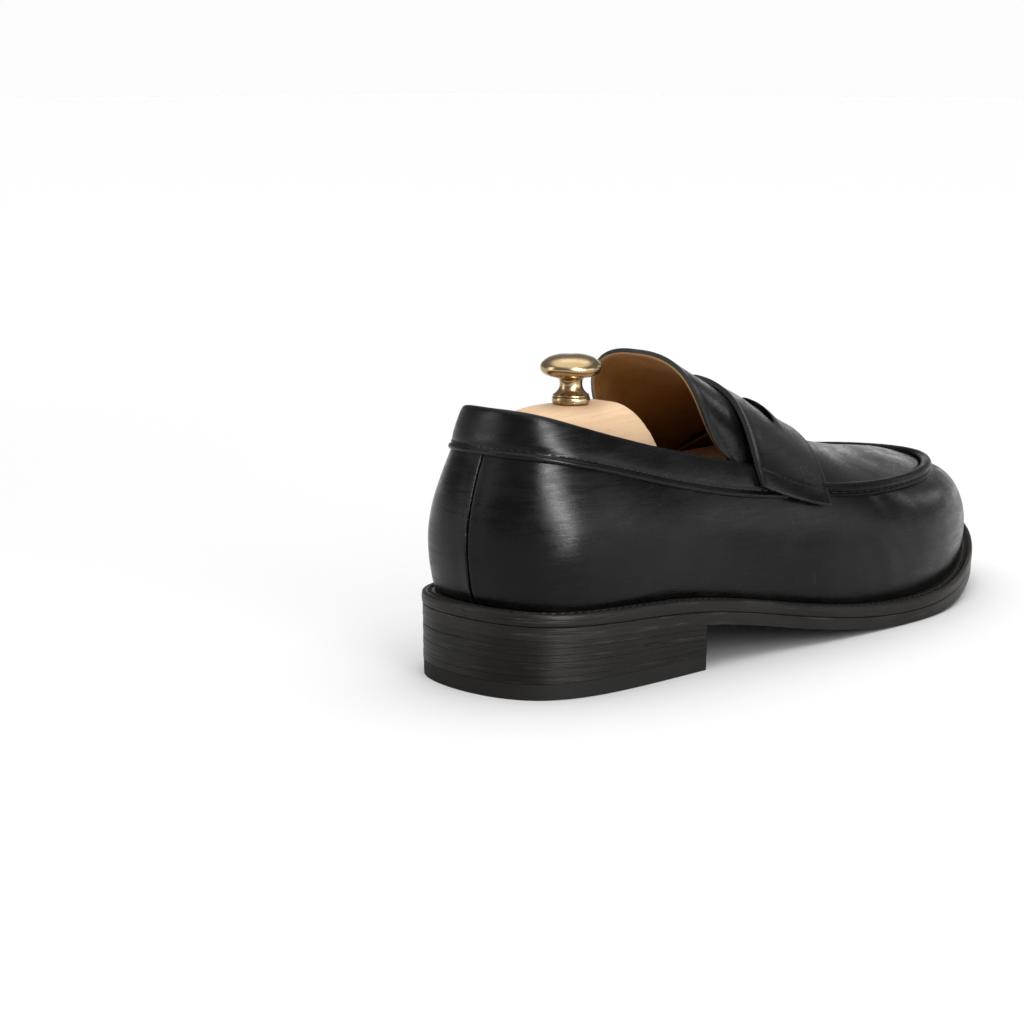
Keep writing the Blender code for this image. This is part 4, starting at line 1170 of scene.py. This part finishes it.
def build_floor():
    mesh = bpy.data.meshes.new("floor")
    corners = [(x * FLOOR_REACH, y * FLOOR_REACH, 0) for x, y in
               ((-1, -1), (1, -1), (1, 1), (-1, 1))]
    mesh.from_pydata(corners, [], [(0, 1, 2, 3)])
    paper = Finish("floor_paper", Specular_IOR_Level=0.1, Roughness=0.9)
    distance = paper.add("VectorMath", {0: paper.coord}, operation="LENGTH").outputs["Value"]
    paper.colour(paper.mix(paper.remap(distance, *FLOOR_SPREAD), FLOOR_NEAR, FLOOR_FAR))
    mesh.materials.append(paper.done())
    new_object("floor", mesh)


def build_camera():
    data = bpy.data.cameras.new("camera")
    data.lens = CAMERA_LENS
    data.sensor_width = 36.0
    data.clip_start = 0.01
    x, y, z = CAMERA_TARGET
    target = Vector((x - X_MID, y, z)) * MM
    camera = stand("camera", data, target, CAMERA_AZIMUTH, CAMERA_RISE, CAMERA_DISTANCE)
    bpy.context.scene.camera = camera


# ---------------- putting it together

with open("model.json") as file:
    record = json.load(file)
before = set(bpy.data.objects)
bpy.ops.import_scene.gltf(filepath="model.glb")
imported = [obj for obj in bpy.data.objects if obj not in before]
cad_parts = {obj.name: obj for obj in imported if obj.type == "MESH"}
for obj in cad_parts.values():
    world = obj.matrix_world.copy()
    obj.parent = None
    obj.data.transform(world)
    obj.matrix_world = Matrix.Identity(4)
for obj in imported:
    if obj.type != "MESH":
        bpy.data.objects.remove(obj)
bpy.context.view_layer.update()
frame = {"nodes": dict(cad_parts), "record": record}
build_camera()
build_floor()
build_world()
build_lights()
bpy.context.scene.view_settings.view_transform = "Standard"

CALF = calf("black_calf")
SEAM_CALF = calf("black_calf_seam", level=0.07, rough=0.34)
EDGE = burnished("burnished_edge", (0.0048, 0.0040, 0.0032), (0.0082, 0.0069, 0.0055))
SOLE = burnished("sole_edge", (0.0090, 0.0078, 0.0062), (0.0150, 0.0130, 0.0105), 0.7)
TAN = lining_leather("tan_lining", (0.23, 0.093, 0.014), (0.34, 0.145, 0.027),
                     (0.33, 0.19, 0.08))
WOOD = beech("waxed_beech")
BRASS = brass("polished_brass")
STEEL = grained("plated_steel", (0.50, 0.50, 0.52), (0.62, 0.62, 0.63), (0.22, 0.4), 0.004,
                ((900, 900, 900),), Metallic=1.0)
RUBBER = rubber("heel_rubber")
BOARD = fibre_board("leatherboard", (0.34, 0.24, 0.15), (0.48, 0.37, 0.26), 700)
CORK = fibre_board("cork", (0.22, 0.13, 0.07), (0.45, 0.32, 0.2), 420)
BLACK_THREAD = thread("black_thread", (0.002, 0.002, 0.002), (0.006, 0.006, 0.006))
TAN_THREAD = thread("tan_thread", (0.10, 0.045, 0.015), (0.2, 0.1, 0.04))

BY_SLOT = {"black_leather": CALF, "edge_leather": EDGE, "lining_leather": TAN,
           "leatherboard": BOARD, "cork": CORK, "rubber": RUBBER, "beech": WOOD,
           "brass": BRASS, "steel": STEEL}
# Nodes that carry over: their finish, and softened edges where they show
for part in frame["record"]["subparts"]:
    node = frame["nodes"][part["node"]]
    for holder in node.material_slots:
        holder.material = BY_SLOT[part["material_slot"]]
    if part["material_slot"] in ("beech", "brass"):
        round_edges(node, 0.25, angle=50)

build_heel(EDGE, RUBBER)
build_outsole(SOLE)
build_welt(SOLE, BLACK_THREAD)
build_skirt(CALF)
build_band(CALF, BLACK_THREAD)
build_roll(SEAM_CALF, BLACK_THREAD)
build_apron(CALF)
build_apron_lining(TAN)
build_strap(CALF, BLACK_THREAD)
build_tongue(CALF, TAN, TAN_THREAD)
build_lining(TAN)
build_block(WOOD)
build_knob(BRASS)
